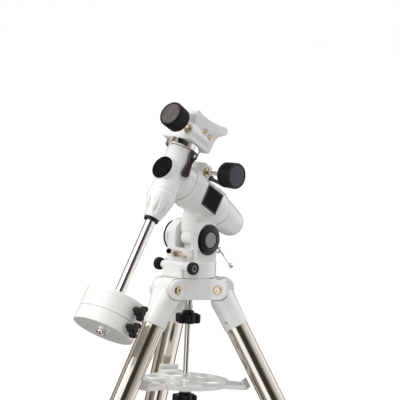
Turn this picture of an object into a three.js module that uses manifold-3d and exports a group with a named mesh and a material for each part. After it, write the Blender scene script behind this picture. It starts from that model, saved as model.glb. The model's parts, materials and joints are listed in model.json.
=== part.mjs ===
import * as THREE from 'three';
import { mergeVertices } from 'three/addons/utils/BufferGeometryUtils.js';
import Module from 'manifold-3d';

// German equatorial mount on a three-legged steel tripod. Millimetres, +Z up, origin on the
// floor under the azimuth axis. North, where the polar axis points, is -Y and east is +X.

const GAP = 0.3;
const ROUND_LARGE = 24;
const ROUND = 16;
const ROUND_SMALL = 10;
const FEW = 8;
const HALF_TURN = Math.PI;
const QUARTER_TURN = Math.PI / 2;

// Tripod
const LEG_HEADINGS = [-90, 30, 150];
const SPLAY = THREE.MathUtils.degToRad(29.6);
const PIVOT_RADIUS = 64;
const PIVOT_HEIGHT = 684;
const HUB_BOTTOM = 664;
const HUB_TOP = 705;
const HUB_WALL = 52;
const EAR_INNER = 22;
const EAR_OUTER = 31;
const EAR_RADIUS = 20;
const LEG_AXIS_OFFSET = 6;
const UPPER_TUBE_RADIUS = 22.2;
const UPPER_TUBE_BORE = 20.6;
const UPPER_TUBE_TOP = -32;
const UPPER_TUBE_BOTTOM = -480;
const LOWER_TUBE_RADIUS = 19;
const LOWER_TUBE_BORE = 17.4;
const LOWER_TUBE_TOP = -120;
const LOWER_TUBE_BOTTOM = -747.5;
const SOCKET_BOTTOM = -80;
const HINGE_BOLT_RADIUS = 4;

// Central bolt, tray and their knobs
const BOLT_RADIUS = 8.3;
const ROD_RADIUS = 5.8;
const ROD_BOTTOM = 460;
const LOCK_KNOB_TOP = 636;
const LOCK_KNOB_BOTTOM = 612;
const TRAY_TOP = 499;
const TRAY_RADIUS = 86;
const TRAY_ARM_REACH = 124;
const TRAY_SPACER_BOTTOM = 474;

// Azimuth base and latitude fork
const BASE_BOTTOM = HUB_TOP + GAP;
const BASE_TOP = 737;
const BASE_RADIUS = 51;
const PEG_Y = -38.5;
const PEG_RADIUS = 3.5;
const AZIMUTH_SCREW_Y = -40.5;
const AZIMUTH_SCREW_Z = 727;
const FORK_INNER = 20.5;
const FORK_OUTER = 41;
const FORK_MIDDLE = 3;
const FORK_RADIUS = 28;
const CAP_SEAT = 45.2;
const LATITUDE_AXIS_Z = 781;
const LATITUDE_BOLT_RADIUS = 8;
const LATITUDE_SCREW_Z = 751;
const LUG_RADIUS = 9;
const WALL_INNER = 20.5;

// Polar axis, measured from where the two axes cross
const LATITUDE = THREE.MathUtils.degToRad(30);
const POLAR_OFFSET = 77;
const POLAR_REACH = 120;
const RA_FRONT = -52;
const RA_REAR = -156;
const RA_RADIUS = 37.5;
const RA_BORE = 17;
const RA_SHAFT_RADIUS = 16.6;
const RA_SHAFT_BORE = 10;
const RA_WHEEL_RADIUS = 33;
const RA_WORM_AT = -70;
const RA_WORM_HEIGHT = 43;
const WORM_RADIUS = 9;

// Declination axis, measured from the same crossing
const DEC_RADIUS = 27;
const DEC_TOP = 53;
const DEC_BOTTOM = -40;
const DEC_SHAFT_RADIUS = 13;
const DEC_LEVER_HEIGHT = 44.3;
const DEC_CIRCLE_RADIUS = 34;
const DEC_WHEEL_RADIUS = 20;
const DEC_WORM_X = 29;
const DEC_WORM_HEIGHT = 85;
const NOSE_BOTTOM = -97;
const SADDLE_TOP = 129;
const CLAMP_Y = 22;
const CLAMP_HEIGHT = 118.5;
const WEIGHT_SHAFT_RADIUS = 10;
const WEIGHT_RADIUS = 61;
const WEIGHT_TOP = -269;
const WEIGHT_SPLIT = -311;
const WEIGHT_BOTTOM = -339;

const WHITE = { colour: 0xf1efe9, roughness: 0.3, metalness: 0 };
const CREAM = { colour: 0xf2eee2, roughness: 0.4, metalness: 0 };
const BLACK = { colour: 0x25211f, roughness: 0.5, metalness: 0 };
const GREY = { colour: 0x6f7074, roughness: 0.6, metalness: 0 };
const RUBBER = { colour: 0x1b1b1b, roughness: 0.9, metalness: 0 };
const CHROME = { colour: 0xdcdcdc, roughness: 0.12, metalness: 1 };
const STEEL = { colour: 0xb9b1a6, roughness: 0.22, metalness: 1 };
const BRASS = { colour: 0xb8924e, roughness: 0.3, metalness: 1 };

const wasm = await Module();
wasm.setup();

const at = (geometry, x, y, z) => geometry.translate(x, y, z);

function toManifold(geometry) {
  const bare = geometry.clone();
  bare.deleteAttribute('normal');
  bare.deleteAttribute('uv');
  const welded = mergeVertices(bare, 1e-4);
  const triangles = [];
  for (let i = 0; i < welded.index.count; i += 3) {
    const [a, b, c] = [0, 1, 2].map((k) => welded.index.getX(i + k));
    if (a !== b && b !== c && a !== c) triangles.push(a, b, c);
  }
  const mesh = new wasm.Mesh({
    numProp: 3,
    vertProperties: new Float32Array(welded.attributes.position.array),
    triVerts: new Uint32Array(triangles),
  });
  const result = new wasm.Manifold(mesh);
  if (result.volume() > 0) return result;
  for (let i = 0; i < mesh.triVerts.length; i += 3) {
    [mesh.triVerts[i], mesh.triVerts[i + 1]] = [mesh.triVerts[i + 1], mesh.triVerts[i]];
  }
  return new wasm.Manifold(mesh);
}

function toGeometry(manifold) {
  const mesh = manifold.getMesh();
  const geometry = new THREE.BufferGeometry();
  const positions = new Float32Array(mesh.vertProperties);
  geometry.setAttribute('position', new THREE.BufferAttribute(positions, 3));
  geometry.setIndex(new THREE.BufferAttribute(new Uint32Array(mesh.triVerts), 1));
  geometry.computeVertexNormals();
  return geometry;
}

const join = (first, ...rest) =>
  toGeometry(rest.reduce((sum, next) => sum.add(toManifold(next)), toManifold(first)));

const cut = (first, ...rest) =>
  toGeometry(rest.reduce((left, next) => left.subtract(toManifold(next)), toManifold(first)));

const keep = (first, second) => toGeometry(toManifold(first).intersect(toManifold(second)));

// A solid turned about Z from [radius, height] points.
function turned(profile, sides = ROUND) {
  const points = profile.map(([radius, height]) => new THREE.Vector2(radius, height));
  return new THREE.LatheGeometry(points, sides).rotateX(QUARTER_TURN);
}

function rod(radius, bottom, top, sides = ROUND) {
  return turned([[0, bottom], [radius, bottom], [radius, top], [0, top]], sides);
}

// A cutter for a bore: its flats, not its corners, lie on the radius asked for.
function bore(radius, bottom, top, sides = ROUND) {
  return rod(radius / Math.cos(HALF_TURN / sides), bottom, top, sides);
}

function pipe(outer, inner, bottom, top, sides = ROUND) {
  return turned([[inner, bottom], [outer, bottom], [outer, top], [inner, top], [inner, bottom]], sides);
}

function block(x0, x1, y0, y1, z0, z1) {
  const box = new THREE.BoxGeometry(x1 - x0, y1 - y0, z1 - z0);
  return at(box, (x0 + x1) / 2, (y0 + y1) / 2, (z0 + z1) / 2);
}

function outline(points) {
  return new THREE.Shape(points.map(([x, y]) => new THREE.Vector2(x, y)));
}

function slab(shape, bottom, top, curveSegments = 8) {
  const depth = top - bottom;
  return at(new THREE.ExtrudeGeometry(shape, { depth, bevelEnabled: false, curveSegments }), 0, 0, bottom);
}

// A slab drawn in the (y, z) plane and given its thickness along x.
function sideSlab(shape, x0, x1, curveSegments = 8) {
  return slab(shape, x0, x1, curveSegments).rotateX(QUARTER_TURN).rotateZ(QUARTER_TURN);
}

const alongX = (geometry) => geometry.rotateY(QUARTER_TURN);
const alongY = (geometry) => geometry.rotateX(-QUARTER_TURN);

// A closed skin through rings of equal length, with a flat cap at both ends.
function loft(rings) {
  const count = rings[0].length;
  const positions = rings.flat().flat();
  const index = [];
  for (let level = 0; level + 1 < rings.length; level += 1) {
    for (let i = 0; i < count; i += 1) {
      const [a, b] = [level * count + i, level * count + ((i + 1) % count)];
      index.push(a, b, b + count, a, b + count, a + count);
    }
  }
  const last = (rings.length - 1) * count;
  for (let i = 1; i + 1 < count; i += 1) {
    index.push(0, i + 1, i);
    index.push(last, last + i, last + i + 1);
  }
  const geometry = new THREE.BufferGeometry();
  geometry.setAttribute('position', new THREE.Float32BufferAttribute(positions, 3));
  geometry.setIndex(index);
  return geometry;
}

// A round knob with evenly spaced finger hollows in its rim and a small edge at both ends.
function lobedKnob(radius, bottom, top, lobes, bite) {
  const ring = (inset, height) => {
    const points = [];
    for (let i = 0; i < lobes * 4; i += 1) {
      const angle = (i * HALF_TURN) / (2 * lobes);
      const reach = radius - inset - bite * (0.5 + 0.5 * Math.cos(lobes * angle));
      points.push([reach * Math.cos(angle), reach * Math.sin(angle), height]);
    }
    return points;
  };
  return loft([ring(1.5, bottom), ring(0, bottom + 1.5), ring(0, top - 1.5), ring(1.5, top)]);
}

function mesh(parent, name, material, geometry) {
  const look = new THREE.MeshStandardMaterial({
    color: material.colour,
    roughness: material.roughness,
    metalness: material.metalness,
  });
  const piece = new THREE.Mesh(geometry, look);
  piece.name = name;
  parent.add(piece);
  return piece;
}

function group(parent, x, y, z, turn = {}) {
  const frame = new THREE.Group();
  frame.position.set(x, y, z);
  frame.rotation.set(turn.x ?? 0, turn.y ?? 0, turn.z ?? 0);
  parent.add(frame);
  return frame;
}

// Tripod ------------------------------------------------------------------------------------

// Outline of one ear around the hinge, in (radial, height) about the hinge axis.
function earOutline(radius, inward, below, above) {
  const shape = new THREE.Shape();
  shape.moveTo(-inward, -below);
  shape.lineTo(0, -radius);
  shape.absarc(0, 0, radius, -QUARTER_TURN, QUARTER_TURN, false);
  shape.lineTo(-inward, above);
  return shape;
}

// An extruded ear with its thickness along the hinge axis.
function ear(shape, y0, y1) {
  return slab(shape, -y1, -y0, 5).rotateX(QUARTER_TURN);
}

function hubEars(heading) {
  const [below, above] = [PIVOT_HEIGHT - HUB_BOTTOM, HUB_TOP - PIVOT_HEIGHT];
  const shape = earOutline(EAR_RADIUS, PIVOT_RADIUS - 30, below, above);
  const both = [ear(shape, EAR_INNER, EAR_OUTER), ear(shape, -EAR_OUTER, -EAR_INNER)];
  return both.map((one) => at(one, PIVOT_RADIUS, 0, PIVOT_HEIGHT).rotateZ(heading));
}

function hubHoles(heading) {
  const back = PIVOT_RADIUS - EAR_RADIUS - 1.2;
  const slot = block(back, 100, -EAR_INNER, EAR_INNER, HUB_BOTTOM - 1, HUB_TOP + 1);
  const hole = alongY(bore(HINGE_BOLT_RADIUS + GAP, -40, 40, FEW));
  const seats = [-1, 1].map((side) => alongY(rod(8, side * 34 - 5.5, side * 34 + 5.5, FEW)));
  const round = [hole, ...seats].map((one) => at(one, PIVOT_RADIUS, 0, PIVOT_HEIGHT));
  return [slot, ...round].map((one) => one.rotateZ(heading));
}

function tripodHub() {
  const corners = [];
  for (const degrees of LEG_HEADINGS) {
    for (const side of [-1, 1]) {
      const corner = new THREE.Vector2(PIVOT_RADIUS - 14, side * EAR_OUTER);
      corner.rotateAround(new THREE.Vector2(), THREE.MathUtils.degToRad(degrees));
      corners.push([corner.x, corner.y]);
    }
  }
  const headings = LEG_HEADINGS.map((degrees) => THREE.MathUtils.degToRad(degrees));
  const core = slab(outline(corners), HUB_BOTTOM, HUB_TOP);
  const peg = at(rod(PEG_RADIUS, HUB_TOP - 2, 731, FEW), 0, PEG_Y, 0);
  const solid = join(core, ...headings.flatMap(hubEars), peg);
  const middle = bore(BOLT_RADIUS + GAP, HUB_BOTTOM - 1, HUB_TOP + 1);
  return cut(solid, middle, ...headings.flatMap(hubHoles));
}

// A ring of points on a rounded rectangle, for lofting.
function squircle(halfX, halfY, power, height, count) {
  const ring = [];
  for (let i = 0; i < count; i += 1) {
    const angle = (i * 2 * HALF_TURN) / count;
    const [c, s] = [Math.cos(angle), Math.sin(angle)];
    const x = halfX * Math.sign(c) * Math.abs(c) ** power;
    const y = halfY * Math.sign(s) * Math.abs(s) ** power;
    ring.push([x, y, height]);
  }
  return ring;
}

const tilted = (geometry) => at(geometry, -LEG_AXIS_OFFSET, 0, 0).rotateY(-SPLAY);

// Drawn upright about the hinge; only the sleeve leans with the leg.
function legSocket() {
  const sleeve = loft([
    squircle(24.3, 24.3, 1, SOCKET_BOTTOM, ROUND),
    squircle(24.6, 24.8, 0.98, -45, ROUND),
    squircle(25, 29.5, 0.8, -12, ROUND),
    squircle(25, 30, 0.75, 34, ROUND),
  ]);
  const barrel = alongY(rod(EAR_RADIUS, -EAR_INNER + 0.5, EAR_INNER - 0.5));
  const top = block(-80, 80, -50, 50, HUB_TOP - PIVOT_HEIGHT - 1, 90);
  const hub = block(-80, -15, -50, 50, -60, 60);
  const pocket = earOutline(EAR_RADIUS + 0.7, 60, EAR_RADIUS + 0.7, EAR_RADIUS + 0.9);
  const pockets = [ear(pocket, EAR_INNER - 0.5, 50), ear(pocket, -50, -EAR_INNER + 0.5)];
  const core = block(-80, -EAR_RADIUS + 5.5, -50, 50, -EAR_RADIUS - 0.8, 60);
  const body = cut(tilted(sleeve), top, core, ...pockets);
  const whole = join(body, barrel);
  const tubeBore = tilted(bore(UPPER_TUBE_RADIUS + GAP, SOCKET_BOTTOM - 1, UPPER_TUBE_TOP + 1));
  return cut(whole, tubeBore, alongY(bore(HINGE_BOLT_RADIUS + GAP, -40, 40, FEW)));
}

function hingeBolt() {
  const [head, seat] = [7, EAR_OUTER - 2.5 + GAP];
  const shank = rod(HINGE_BOLT_RADIUS, -seat - 1, seat + 1, FEW);
  const ends = [-1, 1].map((side) => {
    const low = Math.min(side * seat, side * (seat + 4.5));
    return rod(head, low, low + 4.5, 6);
  });
  return alongY(join(shank, ...ends));
}

function legClamp() {
  const [top, step, bottom] = [-455, UPPER_TUBE_BOTTOM - GAP, -520];
  const ring = turned([
    [UPPER_TUBE_RADIUS + GAP, top], [UPPER_TUBE_RADIUS + GAP, step], [LOWER_TUBE_RADIUS + GAP, step],
    [LOWER_TUBE_RADIUS + GAP, bottom], [24, bottom], [27, bottom + 5], [27, top - 5], [25, top],
    [UPPER_TUBE_RADIUS + GAP, top],
  ]);
  const boss = alongX(at(rod(9, 20.5, 33, ROUND_SMALL), 500, 0, 0));
  const hole = alongX(at(bore(4 + GAP, 15, 40, FEW), 500, 0, 0));
  const whole = cut(join(ring, boss), hole);
  return cut(whole, rod(LOWER_TUBE_RADIUS + GAP, -540, -481));
}

function legClampKnob() {
  const screw = rod(4, LOWER_TUBE_RADIUS + 2 * GAP, 36, FEW);
  return at(alongX(join(screw, lobedKnob(15, 34, 50, 6, 3))), 0, 0, -500);
}

// Drawn upright about the hinge so that its sole is level with the floor.
function legFoot() {
  const bottom = -(PIVOT_HEIGHT / Math.cos(SPLAY)) - 30;
  const cup = tilted(turned([
    [0, bottom], [24, bottom], [24, -762], [22.5, -722], [LOWER_TUBE_RADIUS + GAP, -722],
    [LOWER_TUBE_RADIUS + GAP, -748], [0, -748],
  ]));
  return cut(cup, block(200, 600, -60, 60, -PIVOT_HEIGHT - 60, -PIVOT_HEIGHT));
}

function buildLeg(parent, heading, number) {
  const spoke = group(parent, 0, 0, 0, { z: THREE.MathUtils.degToRad(heading) });
  const upright = group(spoke, PIVOT_RADIUS, 0, PIVOT_HEIGHT);
  const leaning = group(upright, 0, 0, 0, { y: -SPLAY });
  const leg = group(leaning, -LEG_AXIS_OFFSET, 0, 0);
  mesh(upright, `leg_socket_${number}`, WHITE, legSocket());
  mesh(upright, `leg_hinge_bolt_${number}`, BRASS, hingeBolt());
  const upper = pipe(UPPER_TUBE_RADIUS, UPPER_TUBE_BORE, UPPER_TUBE_BOTTOM, UPPER_TUBE_TOP);
  mesh(leg, `leg_upper_tube_${number}`, STEEL, upper);
  mesh(leg, `leg_clamp_${number}`, WHITE, legClamp());
  mesh(leg, `leg_clamp_knob_${number}`, BLACK, legClampKnob());
  const lower = pipe(LOWER_TUBE_RADIUS, LOWER_TUBE_BORE, LOWER_TUBE_BOTTOM, LOWER_TUBE_TOP);
  mesh(leg, `leg_lower_tube_${number}`, STEEL, lower);
  mesh(upright, `leg_foot_${number}`, RUBBER, legFoot());
}

function trayShape(radius, armReach, armWidth) {
  const disc = rod(radius, TRAY_TOP - 9, TRAY_TOP, 32);
  const arms = LEG_HEADINGS.map((degrees) => {
    const wide = armWidth / 2;
    const arm = outline([[40, -wide - 12], [armReach, -wide], [armReach, wide], [40, wide + 12]]);
    return slab(arm, TRAY_TOP - 9, TRAY_TOP).rotateZ(THREE.MathUtils.degToRad(degrees));
  });
  return join(disc, ...arms);
}

function trayHoles() {
  return LEG_HEADINGS.flatMap((degrees) => {
    const large = at(bore(25.6, TRAY_TOP - 20, TRAY_TOP + 5), 55, 0, 0);
    const small = at(bore(16.2, TRAY_TOP - 20, TRAY_TOP + 5), -60, 0, 0);
    return [large, small].map((hole) => hole.rotateZ(THREE.MathUtils.degToRad(degrees)));
  });
}

function trayTabs() {
  return LEG_HEADINGS.map((degrees) => {
    const tab = block(-2.5, 0, -20, 20, -9, 12).rotateY(-SPLAY);
    return at(tab, TRAY_ARM_REACH, 0, TRAY_TOP).rotateZ(THREE.MathUtils.degToRad(degrees));
  });
}

function accessoryTray() {
  const pocket = at(trayShape(TRAY_RADIUS - 2.5, TRAY_ARM_REACH - 4, 35), 0, 0, -3);
  const plate = cut(trayShape(TRAY_RADIUS, TRAY_ARM_REACH, 40), pocket);
  const whole = join(plate, rod(9.8, TRAY_SPACER_BOTTOM, TRAY_TOP), ...trayTabs());
  return cut(whole, bore(ROD_RADIUS + GAP, TRAY_SPACER_BOTTOM - 1, TRAY_TOP + 1), ...trayHoles());
}

function centerBolt() {
  return turned([
    [0, ROD_BOTTOM], [ROD_RADIUS, ROD_BOTTOM], [ROD_RADIUS, LOCK_KNOB_TOP + GAP],
    [BOLT_RADIUS, LOCK_KNOB_TOP + GAP], [BOLT_RADIUS, 722], [BOLT_RADIUS - 1.5, 724], [0, 724],
  ]);
}

function lockKnob() {
  const collar = rod(11.7, LOCK_KNOB_TOP - 8, LOCK_KNOB_TOP);
  const knob = lobedKnob(25, LOCK_KNOB_BOTTOM, LOCK_KNOB_TOP - 6, 6, 6);
  return cut(join(knob, collar), bore(ROD_RADIUS + GAP, LOCK_KNOB_BOTTOM - 1, LOCK_KNOB_TOP + 1));
}

function trayKnob() {
  const top = TRAY_SPACER_BOTTOM - GAP;
  const knob = lobedKnob(25, top - 23, top - 5, 6, 6);
  return cut(join(knob, rod(12, top - 7, top)), bore(ROD_RADIUS + GAP, top - 15, top + 1));
}

function buildTripod(root) {
  mesh(root, 'tripod_hub', WHITE, tripodHub());
  LEG_HEADINGS.forEach((heading, i) => buildLeg(root, heading, i + 1));
  mesh(root, 'center_bolt', CHROME, centerBolt());
  mesh(root, 'mount_lock_knob', BLACK, lockKnob());
  mesh(root, 'accessory_tray', WHITE, accessoryTray());
  mesh(root, 'tray_knob', BLACK, trayKnob());
}

// Azimuth base and latitude fork -----------------------------------------------------------

function forkEar(x0, x1) {
  const shape = new THREE.Shape();
  const crown = LATITUDE_AXIS_Z + 7;
  shape.moveTo(FORK_MIDDLE - FORK_RADIUS, BASE_TOP - 6);
  shape.lineTo(FORK_MIDDLE + FORK_RADIUS, BASE_TOP - 6);
  shape.lineTo(FORK_MIDDLE + FORK_RADIUS, crown);
  shape.absarc(FORK_MIDDLE, crown, FORK_RADIUS, 0, HALF_TURN, false);
  return sideSlab(shape, x0, x1, 10);
}

function azimuthBase() {
  const disc = turned([
    [0, BASE_BOTTOM], [BASE_RADIUS, BASE_BOTTOM], [BASE_RADIUS, BASE_TOP - 1.5],
    [BASE_RADIUS - 1.5, BASE_TOP], [0, BASE_TOP],
  ], ROUND_LARGE);
  const nose = outline([
    [-50, BASE_BOTTOM], [-20, BASE_BOTTOM], [-20, BASE_TOP], [-44, BASE_TOP], [-50, BASE_TOP - 5],
  ]);
  const front = sideSlab(nose, -25, 25);
  const bosses = [-1, 1].map((side) => {
    const boss = alongX(rod(8, side * 29.5 - 6, side * 29.5 + 6));
    return at(boss, 0, AZIMUTH_SCREW_Y, AZIMUTH_SCREW_Z);
  });
  const walls = [[-25, -WALL_INNER], [WALL_INNER, 29]].map(([y0, y1]) =>
    block(-28, 28, y0, y1, BASE_TOP - 4, LATITUDE_SCREW_Z + 9));
  const bridge = block(-30, 30, -31, -WALL_INNER, LATITUDE_SCREW_Z - 7, LATITUDE_SCREW_Z + 11);
  const ears = [forkEar(FORK_INNER, FORK_OUTER), forkEar(-FORK_OUTER, -FORK_INNER)];
  const seats = [-1, 1].map((side) => {
    const seat = rod(29, FORK_OUTER - 1, CAP_SEAT, ROUND_LARGE).rotateY(side * QUARTER_TURN);
    return at(seat, 0, 0, LATITUDE_AXIS_Z);
  });
  const whole = join(disc, front, bridge, ...bosses, ...walls, ...ears, ...seats);
  const pegRoom = block(-16, 16, PEG_Y - PEG_RADIUS - 3, PEG_Y + PEG_RADIUS + 3, BASE_BOTTOM - 1, 733);
  const screws = at(alongX(bore(4 + GAP, -60, 60, FEW)), 0, AZIMUTH_SCREW_Y, AZIMUTH_SCREW_Z);
  const knobRooms = [-1, 1].map((side) => {
    const room = bore(13.3, 35.7, 60).rotateY(side * QUARTER_TURN);
    return at(room, 0, AZIMUTH_SCREW_Y, AZIMUTH_SCREW_Z);
  });
  const boltHole = at(alongX(bore(LATITUDE_BOLT_RADIUS + GAP, -60, 60)), 0, 0, LATITUDE_AXIS_Z);
  const latitudeScrews = at(alongY(bore(4 + GAP, -60, 60, FEW)), 0, 0, LATITUDE_SCREW_Z);
  const thread = bore(BOLT_RADIUS + GAP, BASE_BOTTOM - 1, 727);
  return cut(whole, pegRoom, screws, ...knobRooms, boltHole, latitudeScrews, thread);
}

function azimuthScrew(side) {
  const screw = rod(4, PEG_RADIUS + GAP, 42, FEW);
  const knob = lobedKnob(12.5, 40, 51, 8, 2.2);
  return join(screw, knob).rotateY(side * QUARTER_TURN);
}

function latitudeBolt() {
  const shank = rod(LATITUDE_BOLT_RADIUS, -CAP_SEAT - 2, CAP_SEAT - 1);
  return alongX(join(shank, capDome()));
}

// The black cap over one end of the latitude bolt, facing down the axis.
function capDome() {
  const face = -CAP_SEAT - GAP;
  return turned([
    [0, face - 7], [15, face - 7], [17, face - 7.5], [27, face - 5], [30.5, face - 2],
    [30.5, face], [0, face],
  ], ROUND_LARGE);
}

function latitudeCap() {
  return alongX(capDome()).rotateZ(HALF_TURN);
}

// A bolt pressing on the tongue, with a thin cross handle that has a ball at its long end and
// a smaller one at its short end.
function latitudeScrew(head, long, short, lean) {
  const shank = rod(4, LUG_RADIUS + GAP, head + 1, FEW);
  const nut = rod(6, head, head + 7, 6);
  const arm = rod(1.8, -short, long, 8);
  const balls = [[5.2, long], [4, -short]].map(([radius, reach]) =>
    at(new THREE.SphereGeometry(radius, 8, 6), 0, 0, reach));
  const handle = join(arm, ...balls).rotateX(-QUARTER_TURN).rotateZ(lean);
  return join(shank, nut, at(handle, 0, 0, head + 3.5));
}

function buildAzimuth(root) {
  mesh(root, 'azimuth_base', WHITE, azimuthBase());
  const screws = group(root, 0, AZIMUTH_SCREW_Y, AZIMUTH_SCREW_Z);
  mesh(screws, 'azimuth_screw_east', BLACK, azimuthScrew(1));
  mesh(screws, 'azimuth_screw_west', BLACK, azimuthScrew(-1));
  const pivot = group(root, 0, 0, LATITUDE_AXIS_Z);
  mesh(pivot, 'latitude_bolt', BLACK, latitudeBolt());
  mesh(pivot, 'latitude_cap', BLACK, latitudeCap());
  const level = group(root, 0, 0, LATITUDE_SCREW_Z);
  const degrees = THREE.MathUtils.degToRad;
  const north = latitudeScrew(36.5, 22, 22, degrees(82)).rotateX(QUARTER_TURN);
  const south = latitudeScrew(80, 43, 13, degrees(-50)).rotateX(-QUARTER_TURN);
  mesh(level, 'latitude_screw_north', CHROME, north);
  mesh(level, 'latitude_screw_south', CHROME, south);
}

// Right ascension: everything below is drawn with Z along the polar axis and Y away from
// the tripod, from the crossing of the two axes.

// A knob with a straight ribbed rim, lofted through zigzag rings.
function ribbedKnob(radius, bottom, top, ribs) {
  const ring = (scale, height) => {
    const points = [];
    for (let i = 0; i < ribs * 2; i += 1) {
      const angle = (i * HALF_TURN) / ribs;
      const reach = (i % 2 === 0 ? radius : radius - 1.2) * scale;
      points.push([reach * Math.cos(angle), reach * Math.sin(angle), height]);
    }
    return points;
  };
  return loft([ring(0.9, bottom), ring(0.98, bottom + 3), ring(1, top - 2), ring(0.94, top)]);
}

function tongue() {
  const web = outline([[-20, -84], [-60, -97], [-74, -102], [-74, -138], [-60, -146], [-20, -152]]);
  const half = FORK_INNER - 0.6;
  const plate = sideSlab(web, -half, half);
  const barrel = at(alongX(rod(16, -14.5, 14.5, ROUND_LARGE)), 0, -POLAR_OFFSET, -POLAR_REACH);
  const drop = LATITUDE_AXIS_Z - LATITUDE_SCREW_Z;
  const lug = alongX(rod(LUG_RADIUS, -14.5, 14.5)).translate(0, 0, -drop);
  const neck = block(-14.5, 14.5, -5.5, 5.5, -drop, -10);
  const foot = join(lug, neck).rotateX(LATITUDE - QUARTER_TURN);
  return [plate, barrel, at(foot, 0, -POLAR_OFFSET, -POLAR_REACH)];
}

function raHousing() {
  const barrel = turned([
    [0, RA_REAR], [33.5, RA_REAR], [36, RA_REAR + 8], [RA_RADIUS, RA_REAR + 20], [RA_RADIUS, -69],
    [39.5, -68], [39.5, -53.5], [38.5, RA_FRONT], [0, RA_FRONT],
  ], ROUND_LARGE);
  const pad = block(10, 36, -26, 22, -122, -69.5);
  const wormBlock = block(-30, 18, 20, 59, -83, -57);
  const slotCover = at(new THREE.BoxGeometry(10, 6, 26), 0, 38, -146);
  const solid = join(barrel, pad, wormBlock, slotCover, ...tongue());
  const shaftBore = bore(RA_BORE, RA_REAR - 1, RA_FRONT + 1);
  const labelFlat = block(36, 50, -26, 22, -122, -69.5);
  const wheelRoom = bore(RA_WHEEL_RADIUS + GAP, RA_WORM_AT - 9, RA_WORM_AT + 9, ROUND_LARGE);
  const wormRoom = at(alongX(bore(WORM_RADIUS + 1, -27, 40)), 0, RA_WORM_HEIGHT, RA_WORM_AT);
  const boltHole = alongX(bore(LATITUDE_BOLT_RADIUS + GAP, -30, 30));
  const pivot = at(boltHole, 0, -POLAR_OFFSET, -POLAR_REACH);
  const leverHole = alongY(bore(3 + GAP, 20, 50, FEW)).translate(8, 0, -94);
  return cut(solid, shaftBore, labelFlat, wheelRoom, wormRoom, pivot, leverHole);
}

function raRearCap() {
  const [joint, centre, radius, wall] = [RA_REAR - GAP, -202, 27.5, 3];
  const dome = (reach, steps) => {
    const points = [];
    for (let i = 0; i <= steps; i += 1) {
      const angle = (i * 1.35) / steps;
      points.push([reach * Math.sin(angle), centre - reach * Math.cos(angle)]);
    }
    return points;
  };
  const side = [[31, -182], [33, -168], [33.5, joint]];
  const inside = side.map(([reach, height]) => [reach - wall, height]);
  const outer = [...dome(radius, 5), ...side];
  const inner = [...dome(radius - wall, 3), ...inside];
  return turned([...outer, ...inner.reverse()], ROUND_LARGE);
}

function raShaft() {
  const [front, rear] = [-38, -150];
  const [low, high] = [RA_WORM_AT - 7, RA_WORM_AT + 7];
  return turned([
    [RA_SHAFT_BORE, rear], [RA_SHAFT_RADIUS, rear], [RA_SHAFT_RADIUS, low],
    [RA_WHEEL_RADIUS, low], [RA_WHEEL_RADIUS, high], [RA_SHAFT_RADIUS, high],
    [RA_SHAFT_RADIUS, front], [RA_SHAFT_BORE, front], [RA_SHAFT_BORE, rear],
  ], ROUND_LARGE);
}

// Worm with its long shaft, turned about Z.
function wormShaft(radius, bottom, wormTop, end) {
  return turned([
    [0, bottom], [4, bottom], [4, bottom + 3], [radius, bottom + 4], [radius, wormTop],
    [4, wormTop + 1], [4, end], [0, end],
  ]);
}

function bushing(outer, bottom, top) {
  const inner = 4 + GAP;
  return turned([
    [inner, bottom], [outer, bottom], [outer, top - 2], [outer - 2, top], [inner, top],
    [inner, bottom],
  ]);
}

function knobOnShaft(bottom, length) {
  const hole = bore(4 + GAP, bottom - 1, bottom + 16, FEW);
  return cut(ribbedKnob(25.5, bottom, bottom + length, 22), hole);
}

function leverArm(reach, thick, wide, pivotDepth) {
  const shape = new THREE.Shape();
  shape.absarc(0, 0, wide, HALF_TURN / 3, HALF_TURN * 1.667, false);
  shape.lineTo(reach, -wide * 0.62);
  shape.absarc(reach, 0, wide * 0.62, -QUARTER_TURN, QUARTER_TURN, false);
  const boss = rod(wide - 1, thick - 1, thick + 3, ROUND_SMALL);
  return join(slab(shape, 0, thick, 8), boss, rod(3, -pivotDepth, 1, FEW));
}

function buildRightAscension(crossing) {
  mesh(crossing, 'ra_housing', WHITE, raHousing());
  mesh(crossing, 'ra_rear_cap', WHITE, raRearCap());
  mesh(crossing, 'ra_label_plate', BLACK, block(36 + GAP, 37.3, -24, 20, -119, -71));
  const circle = pipe(38.3, RA_SHAFT_RADIUS + GAP, RA_FRONT + GAP, -38 - GAP, ROUND_LARGE);
  mesh(crossing, 'ra_setting_circle', WHITE, circle);
  mesh(crossing, 'ra_shaft', STEEL, raShaft());
  const drive = group(crossing, 0, RA_WORM_HEIGHT, RA_WORM_AT, { y: QUARTER_TURN });
  mesh(drive, 'ra_worm', CHROME, wormShaft(WORM_RADIUS, -26, 8, 81));
  mesh(drive, 'ra_bushing', BRASS, bushing(WORM_RADIUS + 1 - 2 * GAP, 10, 22));
  mesh(drive, 'ra_knob', BLACK, knobOnShaft(66, 33));
  const lever = leverArm(30, 5.5, 8, 14).rotateZ(THREE.MathUtils.degToRad(56));
  mesh(crossing, 'ra_lock_lever', GREY, at(alongY(lever), 8, 39.5, -94));
}

// Declination: drawn with Z along the declination axis towards the saddle and Y southwards.

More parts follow.
